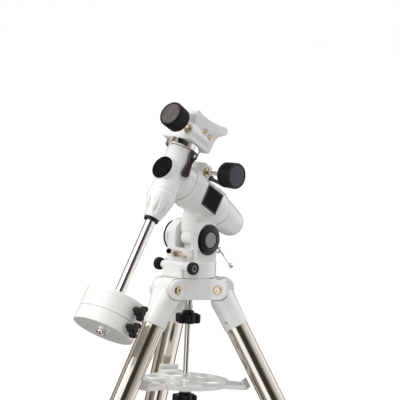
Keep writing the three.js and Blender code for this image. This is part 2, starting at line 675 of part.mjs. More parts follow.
function decHousing() {
  const barrel = turned([
    [0, DEC_BOTTOM + GAP], [DEC_RADIUS, DEC_BOTTOM + GAP], [DEC_RADIUS, DEC_TOP - 2],
    [DEC_RADIUS - 2, DEC_TOP], [0, DEC_TOP],
  ], ROUND_LARGE);
  const flare = [[0, 0], [24, 0], [28, 10], [36, 22], [36, 37.7], [0, 37.7]];
  const sleeve = alongY(turned(flare, ROUND_LARGE));
  const collar = [[0, -27.3], [23.5, -27.3], [24.5, -26], [24.5, 0], [0, 0]];
  const boss = alongY(turned(collar, ROUND_LARGE));
  const shaftBore = bore(DEC_SHAFT_RADIUS + GAP, -45, 60);
  const sight = alongY(bore(RA_SHAFT_BORE, -40, 40));
  const leverHole = at(alongX(bore(3 + GAP, 5, 40, FEW)), 0, 3, DEC_LEVER_HEIGHT);
  return cut(join(barrel, sleeve, boss), shaftBore, sight, leverHole);
}

function polarFrontCap() {
  return turned([
    [0, 20], [RA_SHAFT_BORE - GAP, 20], [RA_SHAFT_BORE - GAP, 27.6], [22.8, 27.6], [22.8, 31],
    [21.5, 32], [0, 32],
  ], ROUND_LARGE);
}

function decShaft() {
  const shaft = rod(DEC_SHAFT_RADIUS, DEC_BOTTOM + 2, 96);
  return cut(shaft, alongY(rod(8, -30, 30, ROUND_SMALL)));
}

function decWheel() {
  const inner = DEC_SHAFT_RADIUS + GAP;
  const [low, high] = [DEC_WORM_HEIGHT - 6, DEC_WORM_HEIGHT + 6];
  return turned([
    [inner, DEC_TOP + GAP], [17, DEC_TOP + GAP], [17, low], [DEC_WHEEL_RADIUS, low],
    [DEC_WHEEL_RADIUS, high], [inner, high], [inner, DEC_TOP + GAP],
  ]);
}

function saddle() {
  const side = outline([
    [-30, 67], [-30, 96], [-44, 112], [-46, 124], [-30, 121], [-5, 121], [22, 125],
    [44, SADDLE_TOP + 3], [54, SADDLE_TOP], [54, 121], [38, 106], [36, 67],
  ]);
  const section = outline([
    [-36, 60], [38, 60], [38, 98], [45, 114], [45, 136], [21.5, 136], [24, 112],
    [-24, 112], [-21.5, 136], [-45, 136], [-45, 114], [-36, 98],
  ]);
  const across = slab(section, -60, 60).rotateX(QUARTER_TURN);
  const body = keep(sideSlab(side, -50, 50), across);
  const land = block(-15, 15, -40, 42, 110, 113);
  const wormBoss = at(alongY(rod(12.5, -34, 26)), DEC_WORM_X, 0, DEC_WORM_HEIGHT);
  const skirt = rod(33, DEC_TOP + 13.5, 72, ROUND_LARGE);
  const solid = join(body, land, wormBoss, skirt);
  const wheelRoom = bore(DEC_WHEEL_RADIUS + GAP, 60, DEC_WORM_HEIGHT + 7);
  const shaftRoom = bore(DEC_SHAFT_RADIUS + GAP, 80, 97);
  const wormRoom = at(alongY(bore(9, -40, 22)), DEC_WORM_X, 0, DEC_WORM_HEIGHT);
  const clampHole = at(alongX(bore(3 + GAP, -50, -20, FEW)), 0, CLAMP_Y, CLAMP_HEIGHT);
  return cut(solid, wheelRoom, shaftRoom, wormRoom, clampHole);
}

// The screw that presses the dovetail bar against the other side of the groove.
function saddleClampKnob() {
  const knob = join(rod(3, 22.5, 53, FEW), lobedKnob(10, 52, 68, 6, 2));
  return at(knob.rotateY(-QUARTER_TURN), 0, CLAMP_Y, CLAMP_HEIGHT);
}

function decNose() {
  const cone = turned([
    [0, NOSE_BOTTOM], [16, NOSE_BOTTOM], [22, -80], [27.5, -58], [28.5, -46], [27.5, DEC_BOTTOM],
    [0, DEC_BOTTOM],
  ], ROUND_LARGE);
  const flutes = [];
  for (let i = 0; i < 8; i += 1) {
    const flute = rod(3.2, -19, 19, FEW).rotateY(THREE.MathUtils.degToRad(17));
    flutes.push(at(flute, 26.5, 0, -74).rotateZ((i * HALF_TURN) / 4));
  }
  return cut(cone, bore(WEIGHT_SHAFT_RADIUS + GAP, -100, -45), ...flutes);
}

function weightShaft() {
  const end = WEIGHT_BOTTOM + 1;
  return turned([
    [0, end + 16], [4 + GAP, end + 16], [4 + GAP, end], [WEIGHT_SHAFT_RADIUS, end],
    [WEIGHT_SHAFT_RADIUS, -103], [14.7, -103], [14.7, NOSE_BOTTOM - GAP],
    [WEIGHT_SHAFT_RADIUS, NOSE_BOTTOM - GAP], [WEIGHT_SHAFT_RADIUS, -46], [0, -46],
  ]);
}

function counterweight(bottom, top) {
  const inner = WEIGHT_SHAFT_RADIUS + 2 * GAP;
  const disc = turned([
    [inner, bottom], [WEIGHT_RADIUS - 1.5, bottom], [WEIGHT_RADIUS, bottom + 1.5],
    [WEIGHT_RADIUS, top - 1.5], [WEIGHT_RADIUS - 1.5, top], [inner, top], [inner, bottom],
  ], 32);
  return cut(disc, at(alongX(bore(4 + GAP, 5, 70, FEW)), 0, 0, (bottom + top) / 2 + 1));
}

function threeLobedKnob() {
  const third = (2 * HALF_TURN) / 3;
  const lobes = [0, 1, 2].map((i) => at(rod(5.5, 68, 80, FEW), 11, 0, 0).rotateZ(0.5 + i * third));
  return alongX(join(rod(9, 64, 81), rod(4, WEIGHT_SHAFT_RADIUS + 2 * GAP, 66, FEW), ...lobes));
}

function buildDeclination(dec) {
  mesh(dec, 'dec_housing', WHITE, decHousing());
  mesh(dec, 'polar_front_cap', BLACK, polarFrontCap().rotateX(QUARTER_TURN));
  const circle = pipe(DEC_CIRCLE_RADIUS, 17 + GAP, DEC_TOP + GAP, DEC_TOP + 13, ROUND_LARGE);
  mesh(dec, 'dec_setting_circle', CHROME, circle);
  mesh(dec, 'dec_shaft', STEEL, decShaft());
  mesh(dec, 'dec_worm_wheel', BRASS, decWheel());
  mesh(dec, 'saddle', WHITE, saddle());
  mesh(dec, 'saddle_clamp_knob', BLACK, saddleClampKnob());
  const drive = group(dec, DEC_WORM_X, 0, DEC_WORM_HEIGHT, { x: QUARTER_TURN });
  mesh(drive, 'dec_worm', CHROME, wormShaft(8.4, -21, 18, 76));
  mesh(drive, 'dec_bushing', BRASS, bushing(9 - GAP, 20, 37));
  mesh(drive, 'dec_knob', BLACK, knobOnShaft(62, 33));
  const lever = leverArm(36, 7, 8.2, 12).rotateY(QUARTER_TURN);
  mesh(dec, 'dec_lock_lever', BLACK, at(lever, 29, 3, DEC_LEVER_HEIGHT));
  mesh(dec, 'dec_nose', WHITE, decNose());
}

function buildCounterweights(dec) {
  mesh(dec, 'counterweight_shaft', CHROME, weightShaft());
  const saver = turned([
    [0, WEIGHT_BOTTOM - 5], [12.5, WEIGHT_BOTTOM - 5], [12.5, WEIGHT_BOTTOM - GAP],
    [4, WEIGHT_BOTTOM - GAP], [4, WEIGHT_BOTTOM + 15], [0, WEIGHT_BOTTOM + 15],
  ]);
  mesh(dec, 'toe_saver', CHROME, saver);
  mesh(dec, 'counterweight_upper', CREAM, counterweight(WEIGHT_SPLIT + GAP, WEIGHT_TOP));
  mesh(dec, 'counterweight_lower', CREAM, counterweight(WEIGHT_BOTTOM, WEIGHT_SPLIT));
  const heights = {
    upper: (WEIGHT_SPLIT + GAP + WEIGHT_TOP) / 2 + 1,
    lower: (WEIGHT_BOTTOM + WEIGHT_SPLIT) / 2 + 1,
  };
  for (const [which, height] of Object.entries(heights)) {
    mesh(dec, `counterweight_knob_${which}`, BLACK, at(threeLobedKnob(), 0, 0, height));
  }
}

const root = new THREE.Group();
buildTripod(root);
buildAzimuth(root);
const polar = group(root, 0, 0, LATITUDE_AXIS_Z, { x: QUARTER_TURN - LATITUDE });
const crossing = group(polar, 0, POLAR_OFFSET, POLAR_REACH);
const declination = group(crossing, 0, 0, 0, { x: -QUARTER_TURN });
buildRightAscension(crossing);
buildDeclination(declination);
buildCounterweights(declination);

export default root;
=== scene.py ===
import json
import math

import bpy
from mathutils import Matrix, Vector


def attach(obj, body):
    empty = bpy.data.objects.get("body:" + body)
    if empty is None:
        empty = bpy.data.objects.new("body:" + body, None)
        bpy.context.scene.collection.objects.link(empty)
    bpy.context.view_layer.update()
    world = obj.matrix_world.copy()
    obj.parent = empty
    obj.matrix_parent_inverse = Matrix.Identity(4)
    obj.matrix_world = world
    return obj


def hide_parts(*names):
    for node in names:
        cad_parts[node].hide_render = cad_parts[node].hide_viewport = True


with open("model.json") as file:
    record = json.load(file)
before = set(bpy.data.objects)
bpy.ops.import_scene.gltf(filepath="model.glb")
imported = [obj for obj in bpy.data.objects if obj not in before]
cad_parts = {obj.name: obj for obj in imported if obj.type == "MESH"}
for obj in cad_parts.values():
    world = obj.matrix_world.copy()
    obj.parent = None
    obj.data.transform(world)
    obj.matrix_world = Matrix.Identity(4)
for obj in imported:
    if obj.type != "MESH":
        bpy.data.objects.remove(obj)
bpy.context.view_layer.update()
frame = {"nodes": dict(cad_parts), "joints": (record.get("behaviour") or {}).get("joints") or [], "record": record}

# Equatorial mount on a steel tripod. Shapes are drawn in millimetres in the local frame of the
# joint that they belong to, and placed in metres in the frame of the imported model.

MM = 0.001
EAST = Vector((1, 0, 0))
UP = Vector((0, 0, 1))
ROUND = 72
FINE = 96

# Tripod
LEGS = (1, 2, 3)
CLAMP_DROP = 500
LEG_OFFSET = 6
HINGE_RADIUS = 64
HUB_LOW, HUB_HIGH = 664, 705
EAR_IN, EAR_OUT, EAR_RADIUS = 22, 31, 20
LEG_LEAN = 29.6
UPPER_TUBE, UPPER_BORE = 22.2, 20.6
LOWER_TUBE, LOWER_BORE = 19, 17.4
BOLT, ROD = 8.3, 5.8
SCREW_BORE, PIN_BORE = 4.3, 3.3
TRAY_TOP, TRAY_NUT_TOP = 499, 473.7

# Azimuth and latitude
SIDES = ((1, "east"), (-1, "west"))
BASE_LOW, BASE_HIGH, BASE_RADIUS = 705.3, 737, 51
FORK_IN, FORK_OUT = 20.5, 41
FORK_MIDDLE, FORK_RADIUS = 3, 28
CAP_SEAT, CAP_RADIUS = 45.2, 30.5
SCREW_Y, SCREW_Z = -40.5, 727
LEVEL = 751

# Right ascension, measured from the crossing of the axes
POLAR_OFFSET, POLAR_REACH = 77, 120
RA_FRONT, RA_REAR, RA_RADIUS = -52, -156, 37.5

# Declination
DEC_RADIUS, DEC_TOP, DEC_BOTTOM = 27, 53, -40
NOSE_LOW = -97
CLAMP_Y, CLAMP_HEIGHT = 22, 118.5
SADDLE_SCREWS = ((1.5, 97), (18, 94))
WEIGHT_RADIUS, WEIGHT_HIGH, WEIGHT_SPLIT, WEIGHT_LOW = 61, -269, -311, -339

# Frames ----


def place(origin, z, x=EAST):
    """A frame at origin, in metres, with Z along z and X as near x as it can be."""
    z = Vector(z).normalized()
    x = (Vector(x) - Vector(x).dot(z) * z).normalized()
    turn = Matrix((x, z.cross(x), z)).transposed().to_4x4()
    return Matrix.Translation(Vector(origin)) @ turn


def shift(x=0, y=0, z=0):
    return Matrix.Translation(Vector((x, y, z)) * MM)


def spin(degrees, axis):
    return Matrix.Rotation(math.radians(degrees), 4, axis)


joints = {joint["name"]: joint for joint in frame["joints"]}
FLOOR = Matrix.Identity(4)
CLAMP_SCREW = shift(0, 0, -CLAMP_DROP) @ spin(90, "Y")
PIVOT = place(joints["latitude_tilt"]["pos_m"], UP)
CROSSING = place(joints["ra_turn"]["pos_m"], joints["ra_turn"]["axis"])
DEC = CROSSING @ spin(-90, "X")
RA_DRIVE = place(joints["ra_knob_turn"]["pos_m"], EAST, UP)
DEC_DRIVE = place(joints["dec_knob_turn"]["pos_m"], joints["dec_knob_turn"]["axis"])


def leg_frame(number):
    """Z up along the leg and X away from the tripod's middle, from beside the leg's hinge."""
    clamp = joints[f"clamp_{number}_turn"]
    down = Vector(joints[f"leg_{number}_extend"]["axis"])
    return place(Vector(clamp["pos_m"]) - down * CLAMP_DROP * MM, -down, clamp["axis"])


def hinge_frame(number):
    """Upright frame on the leg's hinge, with X away from the tripod's middle."""
    leg = leg_frame(number)
    out = leg.to_3x3() @ EAST
    origin = leg @ Vector((LEG_OFFSET * MM, 0, 0))
    return place(origin, UP, Vector((out.x, out.y, 0)))


# Meshes, in millimetres ----


def in_scene(name, data):
    thing = bpy.data.objects.new(name, data)
    bpy.context.scene.collection.objects.link(thing)
    return thing


def mesh_of(points, faces):
    mesh = bpy.data.meshes.new("shape")
    mesh.from_pydata([tuple(p) for p in points], [], faces)
    mesh.update()
    return mesh


def altered(mesh, *steps):
    """The mesh after modifiers, each given as (kind, settings)."""
    holder = in_scene("holder", mesh)
    for kind, settings in steps:
        modifier = holder.modifiers.new(kind, kind)
        for key, value in settings.items():
            setattr(modifier, key, value)
    graph = bpy.context.evaluated_depsgraph_get()
    result = bpy.data.meshes.new_from_object(holder.evaluated_get(graph))
    bpy.data.objects.remove(holder)
    return result


def combined(operation, first, others):
    for other in others:
        tool = in_scene("tool", other)
        settings = {"operation": operation, "solver": "MANIFOLD", "object": tool}
        first = altered(first, ("BOOLEAN", settings))
        bpy.data.objects.remove(tool)
    return first


def join(first, *others):
    return combined("UNION", first, others)


def cut(first, *others):
    return combined("DIFFERENCE", first, others)


def common(first, *others):
    return combined("INTERSECT", first, others)


def moved(mesh, matrix):
    """The mesh moved by a matrix whose translation is in metres."""
    matrix = matrix.copy()
    matrix.translation = matrix.translation / MM
    mesh.transform(matrix)
    return mesh


def cast(mesh, grain=1.0, rounds=8):
    """Softens every edge and hollow as on a casting."""
    remesh = {"mode": "VOXEL", "voxel_size": grain}
    return altered(mesh, ("REMESH", remesh), ("SMOOTH", {"factor": 0.5, "iterations": rounds}))


def bevelled(mesh, width, segments=3, angle=35):
    settings = {"width": width, "segments": segments, "limit_method": "ANGLE"}
    return altered(mesh, ("BEVEL", {**settings, "angle_limit": math.radians(angle)}))


def arcs(points, soft, closed=False, steps=4):
    """The outline with arcs at its corners. A point's third number is its own radius."""
    result = []
    for i, point in enumerate(points):
        here = Vector(point[:2])
        radius = point[2] if len(point) > 2 else soft
        ends = not closed and i in (0, len(points) - 1)
        back = Vector(points[i - 1][:2]) - here
        ahead = Vector(points[(i + 1) % len(points)][:2]) - here
        if ends or radius <= 0 or min(back.length, ahead.length) < 1e-6:
            result.append(here)
            continue
        angle = back.angle(ahead)
        if angle > math.radians(174):
            result.append(here)
            continue
        reach = min(radius / math.tan(angle / 2), 0.49 * back.length, 0.49 * ahead.length)
        radius = reach * math.tan(angle / 2)
        first, last = back.normalized(), ahead.normalized()
        centre = here + (first + last).normalized() * radius / math.sin(angle / 2)
        start, stop = here + first * reach - centre, here + last * reach - centre
        for k in range(steps + 1):
            result.append(centre + start.lerp(stop, k / steps).normalized() * radius)
    return result


def skin(rings, closed):
    """Faces between rings of point numbers. A ring with one number is a point on the axis."""
    faces = []
    pairs = list(zip(rings, rings[1:])) + ([(rings[-1], rings[0])] if closed else [])
    for low, high in pairs:
        for k in range(max(len(low), len(high))):
            a, b = low[k % len(low)], low[(k + 1) % len(low)]
            c, d = high[(k + 1) % len(high)], high[k % len(high)]
            face = [n for i, n in enumerate((a, b, c, d)) if n not in (a, b, c, d)[:i]]
            if len(face) > 2:
                faces.append(face)
    return faces


def turned(profile, soft=0.5, ring=False, steps=ROUND, wave=None):
    """A solid turned about Z from [radius, height] points, bottom first and outside last.
    wave(angle, radius) may change the radius all round."""
    points, rings = [], []
    for radius, height in arcs(profile, soft, closed=ring):
        if radius < 1e-6:
            rings.append([len(points)])
            points.append((0, 0, height))
            continue
        rings.append(range(len(points), len(points) + steps))
        for k in range(steps):
            angle = 2 * math.pi * k / steps
            reach = wave(angle, radius) if wave else radius
            points.append((reach * math.cos(angle), reach * math.sin(angle), height))
    return mesh_of(points, skin(rings, ring))


def fine(profile, soft, **more):
    """A turned solid with more steps round it, for a face that is seen close to."""
    return turned(profile, soft, steps=FINE, **more)


def rod(radius, low, high, soft=0.5, steps=ROUND):
    return turned([(0, low), (radius, low), (radius, high), (0, high)], soft, steps=steps)


def pipe(outer, inner, low, high, soft=0.5, steps=ROUND):
    return turned(
        [(inner, low), (outer, low), (outer, high), (inner, high)], soft, ring=True, steps=steps
    )


def arc(cx, cy, radius, start, stop, steps=16):
    """Points of an arc, from start to stop degrees."""
    turn = [math.radians(start + (stop - start) * k / steps) for k in range(steps + 1)]
    return [(cx + radius * math.cos(t), cy + radius * math.sin(t), 0) for t in turn]


def plate(outline, low, high, corner=0.0, edge=0.0):
    """An outline in X and Y given its thickness along Z, with its corners and its rims softened."""
    flat = arcs(outline, corner, closed=True)
    count = len(flat)
    points = [(x, y, z) for z in (low, high) for x, y in flat]
    sides = [(i, (i + 1) % count, (i + 1) % count + count, i + count) for i in range(count)]
    mesh = mesh_of(points, [tuple(reversed(range(count))), tuple(range(count, 2 * count)), *sides])
    return bevelled(mesh, edge) if edge else mesh


def block(x0, x1, y0, y1, z0, z1, corner=0.0, edge=0.0):
    return plate([(x0, y0), (x1, y0), (x1, y1), (x0, y1)], z0, z1, corner, edge)


def side_plate(outline, x0, x1, corner=0.0, edge=0.0):
    """A plate drawn in (y, z) with its thickness along X."""
    mesh = plate(outline, x0, x1, corner, edge)
    return moved(mesh, spin(90, "Z") @ spin(90, "X"))


def along_x(mesh):
    return moved(mesh, spin(90, "Y"))


def along_y(mesh):
    return moved(mesh, spin(-90, "X"))


def loft(rings):
    """A closed skin through rings of equal length, flat at both ends."""
    count = len(rings[0])
    points = [point for ring in rings for point in ring]
    numbers = [range(i * count, (i + 1) * count) for i in range(len(rings))]
    ends = [tuple(reversed(numbers[0])), tuple(numbers[-1])]
    return mesh_of(points, skin(numbers, False) + ends)


# Looks ----

looks = {}


class Look:
    """A material with one shader, and short ways to drive its sockets from nodes."""

    def __init__(self, name, colour, roughness, metallic=0.0, **settings):
        self.material = bpy.data.materials.new(name)
        self.material.use_nodes = True
        self.tree = self.material.node_tree
        self.shader = self.tree.nodes["Principled BSDF"]
        self.shader.inputs["Base Color"].default_value = (*colour, 1)
        self.shader.inputs["Roughness"].default_value = roughness
        self.shader.inputs["Metallic"].default_value = metallic
        for key, value in settings.items():
            self.shader.inputs[key.replace("_", " ")].default_value = value
        self.place = self.tree.nodes.new("ShaderNodeTexCoord").outputs["Object"]
        looks[name] = self

    def node(self, kind, **inputs):
        node = self.tree.nodes.new(kind)
        for key, value in inputs.items():
            socket = node.inputs[key.replace("_", " ")]
            if isinstance(value, bpy.types.NodeSocket):
                self.tree.links.new(value, socket)
            else:
                socket.default_value = value
        return node

    def noise(self, scale, detail=3.0, stretch=(1, 1, 1)):
        """Noise with that many waves to the metre."""
        spread = self.node("ShaderNodeMapping", Vector=self.place, Scale=stretch)
        node = self.node(
            "ShaderNodeTexNoise", Vector=spread.outputs["Vector"], Scale=scale, Detail=detail
        )
        return node.outputs["Fac"]

    def ramp(self, value, low, high, at=(0.3, 0.7)):
        """A value or colour that goes from low to high as value goes between the two places."""
        ramp = self.node("ShaderNodeValToRGB", Fac=value).color_ramp
        for element, position, colour in zip(ramp.elements, at, (low, high)):
            element.position = position
            element.color = (*colour, 1) if hasattr(colour, "__len__") else (colour,) * 3 + (1,)
        return self.tree.nodes[-1].outputs["Color"]

    def drive(self, socket, value):
        self.tree.links.new(value, self.shader.inputs[socket])

    def bump(self, height, depth, strength=1.0):
        bump = self.node("ShaderNodeBump", Height=height, Distance=depth, Strength=strength)
        self.drive("Normal", bump.outputs["Normal"])


def shade(colour, factor):
    return tuple(min(1.0, part * factor) for part in colour)


def enamel(name, colour, roughness):
    """Gloss paint over a casting: faint orange peel and slightly uneven gloss."""
    look = Look(name, colour, roughness, Coat_Weight=0.3, Coat_Roughness=0.1)
    look.drive("Base Color", look.ramp(look.noise(9), shade(colour, 0.99), colour))
    look.drive("Roughness", look.ramp(look.noise(90), roughness - 0.05, roughness + 0.05))
    look.bump(look.noise(600, 2), 0.00006, 0.15)


def plastic(name, colour, roughness, grain, gleam=0.3):
    """Moulded plastic with a fine spark-eroded grain."""
    look = Look(name, colour, roughness, Specular_IOR_Level=gleam)
    look.drive("Base Color", look.ramp(look.noise(60), shade(colour, 0.8), shade(colour, 1.25)))
    look.drive("Roughness", look.ramp(look.noise(140), roughness - 0.07, roughness + 0.08))
    look.bump(look.noise(grain, 4), 0.00015, 0.5)


def metal(name, colour, roughness, stretch, scratch):
    """Polished metal with fine lines along the way that it was finished."""
    look = Look(name, colour, roughness, 1.0)
    look.drive("Base Color", look.ramp(look.noise(25), shade(colour, 0.93), colour))
    lines = look.noise(900, 3, stretch)
    look.drive("Roughness", look.ramp(lines, roughness * 0.7, roughness * 1.5))
    look.bump(lines, 0.00004, scratch)


enamel("white_enamel", (0.86, 0.853, 0.835), 0.24)
enamel("cream_enamel", (0.86, 0.845, 0.80), 0.34)
plastic("black_plastic", (0.008, 0.0066, 0.006), 0.34, 1800, 0.24)
plastic("deep_black", (0.0025, 0.0025, 0.003), 0.5, 1800, 0.06)
plastic("brown_plastic", (0.022, 0.017, 0.015), 0.36, 1800)
plastic("grey_plastic", (0.07, 0.07, 0.073), 0.45, 1500)
plastic("cap_grey", (0.27, 0.27, 0.28), 0.36, 1500)
plastic("knob_face", (0.085, 0.074, 0.070), 0.5, 1500)
plastic("gloss_face", (0.007, 0.010, 0.020), 0.14, 600, 0.5)
plastic("label_face", (0.003, 0.003, 0.0034), 0.42, 400, 0.07)
plastic("rubber", (0.022, 0.022, 0.022), 0.75, 700)
metal("chrome", (0.82, 0.82, 0.81), 0.07, (1, 1, 0.05), 0.15)
metal("stainless_steel", (0.62, 0.585, 0.53), 0.13, (1, 1, 0.02), 0.25)
metal("turned_steel", (0.7, 0.69, 0.66), 0.16, (1, 1, 30), 0.3)
metal("brass", (0.60, 0.50, 0.36), 0.26, (1, 1, 20), 0.3)

# Pieces ----


def piece(name, mesh, where, body, look, *nodes, crease=32, weighted=True):
    """Puts a mesh in the scene on a body, in the place of the CAD nodes named."""
    mesh.transform(Matrix.Scale(MM, 4))
    mesh.name = name
    mesh.materials.clear()
    mesh.materials.append(looks[look].material)
    mesh.shade_smooth()
    mesh.set_sharp_from_angle(angle=math.radians(crease))
    if weighted:
        mesh = altered(mesh, ("WEIGHTED_NORMAL", {"keep_sharp": True}))
    thing = in_scene(name, mesh)
    thing.matrix_world = where
    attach(thing, body)
    if nodes:
        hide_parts(*nodes)
    return thing


def casting(name, mesh, where, body, node):
    """A painted casting, whose even mesh needs no weighted normals."""
    return piece(name, mesh, where, body, "white_enamel", node, weighted=False)


def star_knob(radius, low, high, lobes, bite, edge=2.5):
    """A round knob with evenly spaced finger hollows in its rim."""
    def wave(angle, reach):
        return reach - bite * (reach / radius) ** 2 * (0.5 + 0.5 * math.cos(lobes * angle)) ** 1.5
    dish = (high - low) * 0.12
    profile = [
        (0, low + dish), (radius * 0.42, low + dish), (radius * 0.5, low), (radius, low, edge),
        (radius, high, edge), (radius * 0.5, high), (radius * 0.42, high - dish), (0, high - dish),
    ]
    return turned(profile, 1.2, steps=lobes * 16, wave=wave)


def ribbed_knob(radius, low, high, ribs, depth=1.9):
    """A knob with straight ribs all round and a raised rim round its face."""
    def wave(angle, reach):
        tooth = min(1.0, max(0.0, 0.5 + 1.6 * math.cos(ribs * angle)))
        return reach - depth * (1 - tooth) * (1 if reach > radius * 0.955 else 0)
    profile = [
        (0, low), (radius * 0.88, low), (radius * 0.97, low + 3), (radius, high - 3, 1),
        (radius * 0.955, high - 1.2, 0.5), (radius * 0.94, high, 0.4), (radius * 0.87, high, 0.4),
        (radius * 0.85, high - 1.4, 0.4), (0, high - 1.4),
    ]
    return turned(profile, 0.6, steps=ribs * 12, wave=wave)


def hex_head(radius, low, high, recess=None):
    """A hexagonal head with a chamfered crown, and a recess across it if asked for."""
    head = turned([(0, low), (radius, low), (radius, high), (0, high)], 0, steps=6)
    crown = turned([
        (0, low), (radius, low), (radius, high - 0.16 * radius), (0.86 * radius, high), (0, high),
    ], 0.2)
    head = bevelled(common(head, crown), 0.15, 2)
    if recess:
        head = cut(head, rod(recess, high - 2, high + 1, 0, 6))
    return head


def socket_screw(radius, low, high):
    """A cheese-head screw with a hexagonal recess."""
    head = rod(radius, low, high, 0.4, 36)
    key = rod(radius * 0.5, high - 1.6, high + 1, 0, 6)
    return cut(head, key)


def carry_over():
    """CAD nodes that stay get the look of their slot in the record."""
    slots = {entry["node"]: entry["material_slot"] for entry in frame["record"]["subparts"]}
    for name, node in frame["nodes"].items():
        if not node.hide_render:
            node.data.materials.clear()
            node.data.materials.append(looks[slots[name]].material)


# Camera, light and floor ----

CAMERA_AZIMUTH, CAMERA_ELEVATION, CAMERA_ROLL = 43.0, 5.3, 2.45
CAMERA_DISTANCE = 4.4
CAMERA_TARGET = Vector((-0.0024, 0.0225, 0.8538))
CAMERA_LENS, CAMERA_FILM = 201.0, 36.0
DIFFUSE_WORLD = 0.58
LIT = Vector((0, 0, 0.75))


def make_camera():
    azimuth, elevation = math.radians(CAMERA_AZIMUTH), math.radians(CAMERA_ELEVATION)
    level = math.cos(elevation)
    back = Vector((math.sin(azimuth) * level, -math.cos(azimuth) * level, math.sin(elevation)))
    camera = in_scene("camera", bpy.data.cameras.new("camera"))
    camera.data.lens, camera.data.sensor_width = CAMERA_LENS, CAMERA_FILM
    camera.data.clip_end = 100
    stand = place(CAMERA_TARGET + back * CAMERA_DISTANCE, back, UP.cross(back))
    camera.matrix_world = stand @ spin(CAMERA_ROLL, "Z")
    bpy.context.scene.camera = camera


def area_light(name, power, size, position):
    """A white panel that faces the middle of the object."""
    light = bpy.data.lights.new(name, "AREA")
    light.shape, light.energy = "RECTANGLE", power
    light.size, light.size_y = size
    position = Vector(position)
    lamp = in_scene(name, light)
    lamp.matrix_world = place(position, position - LIT, UP.cross(position))


def soft_sky(strength):
    """A very wide light straight down, so that the floor is as pale far off as near by."""
    light = bpy.data.lights.new("overhead", "SUN")
    light.energy, light.angle = strength, math.radians(80)
    in_scene("overhead", light)


def make_floor():
    corners = [(-40, -40, 0), (40, -40, 0), (40, 40, 0), (-40, 40, 0)]
    floor = in_scene("floor", mesh_of(corners, [(0, 1, 2, 3)]))
    look = Look("studio_floor", (0.95, 0.95, 0.95), 0.9)
    look.drive("Base Color", look.ramp(look.noise(3), (0.94, 0.94, 0.94), (0.96, 0.96, 0.96)))
    floor.data.materials.append(look.material)
    floor.visible_glossy = False
    floor.visible_diffuse = False


# What polished surfaces reflect: studio cards round the object, as (degrees round from the
# camera towards its right, brightness, warmth).
CARDS = (
    (-180, 0.10, 0.5), (-140, 0.20, 0.9), (-128, 0.75, 0.8), (-106, 0.70, 0.8), (-98, 0.12, 1.0),
    (-84, 0.16, 1.0), (-76, 0.34, 0.9), (-50, 0.50, 0.8), (-44, 1.60, 0.0), (-14, 1.60, 0.0),
    (-8, 0.05, 1.0), (34, 0.05, 1.0), (44, 0.38, 0.9), (70, 0.55, 0.7), (104, 1.40, 0.0),
    (138, 1.40, 0.0), (146, 0.10, 0.8), (180, 0.10, 0.5),
)
WARM = (1.0, 0.91, 0.78)


def reflections(tree):
    """The cards' colours, by how far round a ray goes off."""
    link, new = tree.links.new, tree.nodes.new
    direction = new("ShaderNodeSeparateXYZ")
    around, part, wrapped = (new("ShaderNodeMath") for _ in range(3))
    around.operation, part.operation, wrapped.operation = "ARCTAN2", "MULTIPLY_ADD", "FRACT"
    link(new("ShaderNodeTexCoord").outputs["Generated"], direction.inputs[0])
    link(direction.outputs["Y"], around.inputs[0])
    link(direction.outputs["X"], around.inputs[1])
    link(around.outputs[0], part.inputs[0])
    part.inputs[1].default_value = 1 / (2 * math.pi)
    part.inputs[2].default_value = 0.5 + (90 - CAMERA_AZIMUTH) / 360
    link(part.outputs[0], wrapped.inputs[0])
    ramp = new("ShaderNodeValToRGB")
    link(wrapped.outputs[0], ramp.inputs["Fac"])
    stops = ramp.color_ramp.elements
    while len(stops) < len(CARDS):
        stops.new(0.5)
    for stop, (degrees, bright, warm) in zip(stops, CARDS):
        stop.position = degrees / 360 + 0.5
        stop.color = (*[bright * (1 + (tint - 1) * warm) for tint in WARM], 1)
    return ramp.outputs["Color"]


def mixed(tree, kind, others, chosen):
    """The chosen shader for one kind of ray, and the other one for the rest."""
    mix, rays = tree.nodes.new("ShaderNodeMixShader"), tree.nodes.new("ShaderNodeLightPath")
    tree.links.new(rays.outputs[kind], mix.inputs["Fac"])
    tree.links.new(others.outputs[0], mix.inputs[1])
    tree.links.new(chosen.outputs[0], mix.inputs[2])
    return mix


def make_world():
    """White behind the object, an even light all round, and the cards in reflections."""
    world = bpy.data.worlds.new("studio")
    world.use_nodes = True
    tree = world.node_tree
    diffuse = tree.nodes["Background"]
    glossy, backdrop = (tree.nodes.new("ShaderNodeBackground") for _ in range(2))
    for background in (diffuse, backdrop):
        background.inputs["Color"].default_value = (1, 1, 1, 1)
    diffuse.inputs["Strength"].default_value = DIFFUSE_WORLD
    tree.links.new(reflections(tree), glossy.inputs["Color"])
    indirect = mixed(tree, "Is Glossy Ray", diffuse, glossy)
    seen = mixed(tree, "Is Camera Ray", indirect, backdrop)
    tree.links.new(seen.outputs[0], tree.nodes["World Output"].inputs["Surface"])
    bpy.context.scene.world = world


def make_studio():
    bpy.context.scene.view_settings.view_transform = "Standard"
    make_camera()
    make_floor()
    make_world()
    soft_sky(strength=1.75)
    area_light("left", power=62, size=(1.6, 2.2), position=(-1.4, -3.0, 2.4))
    area_light("right", power=3, size=(1.0, 2.0), position=(3.2, 1.2, 1.6))


# Tripod ----


def spokes():
    """The turn from X to each leg's heading, from the leg's own joint."""
    axes = [Vector(joints[f"leg_{number}_extend"]["axis"]) for number in LEGS]
    return [spin(math.degrees(math.atan2(axis.y, axis.x)), "Z") for axis in axes]


def ear_outline(radius, inward, below, above):
    """One ear round the hinge, in (outwards, up) from the hinge."""
    return [(-inward, -below, 0), *arc(0, 0, radius, -90, 90), (-inward, above, 0)]


def ear(outline, y0, y1, edge=0.0):
    return moved(plate(outline, -y1, -y0, edge=edge), spin(90, "X"))


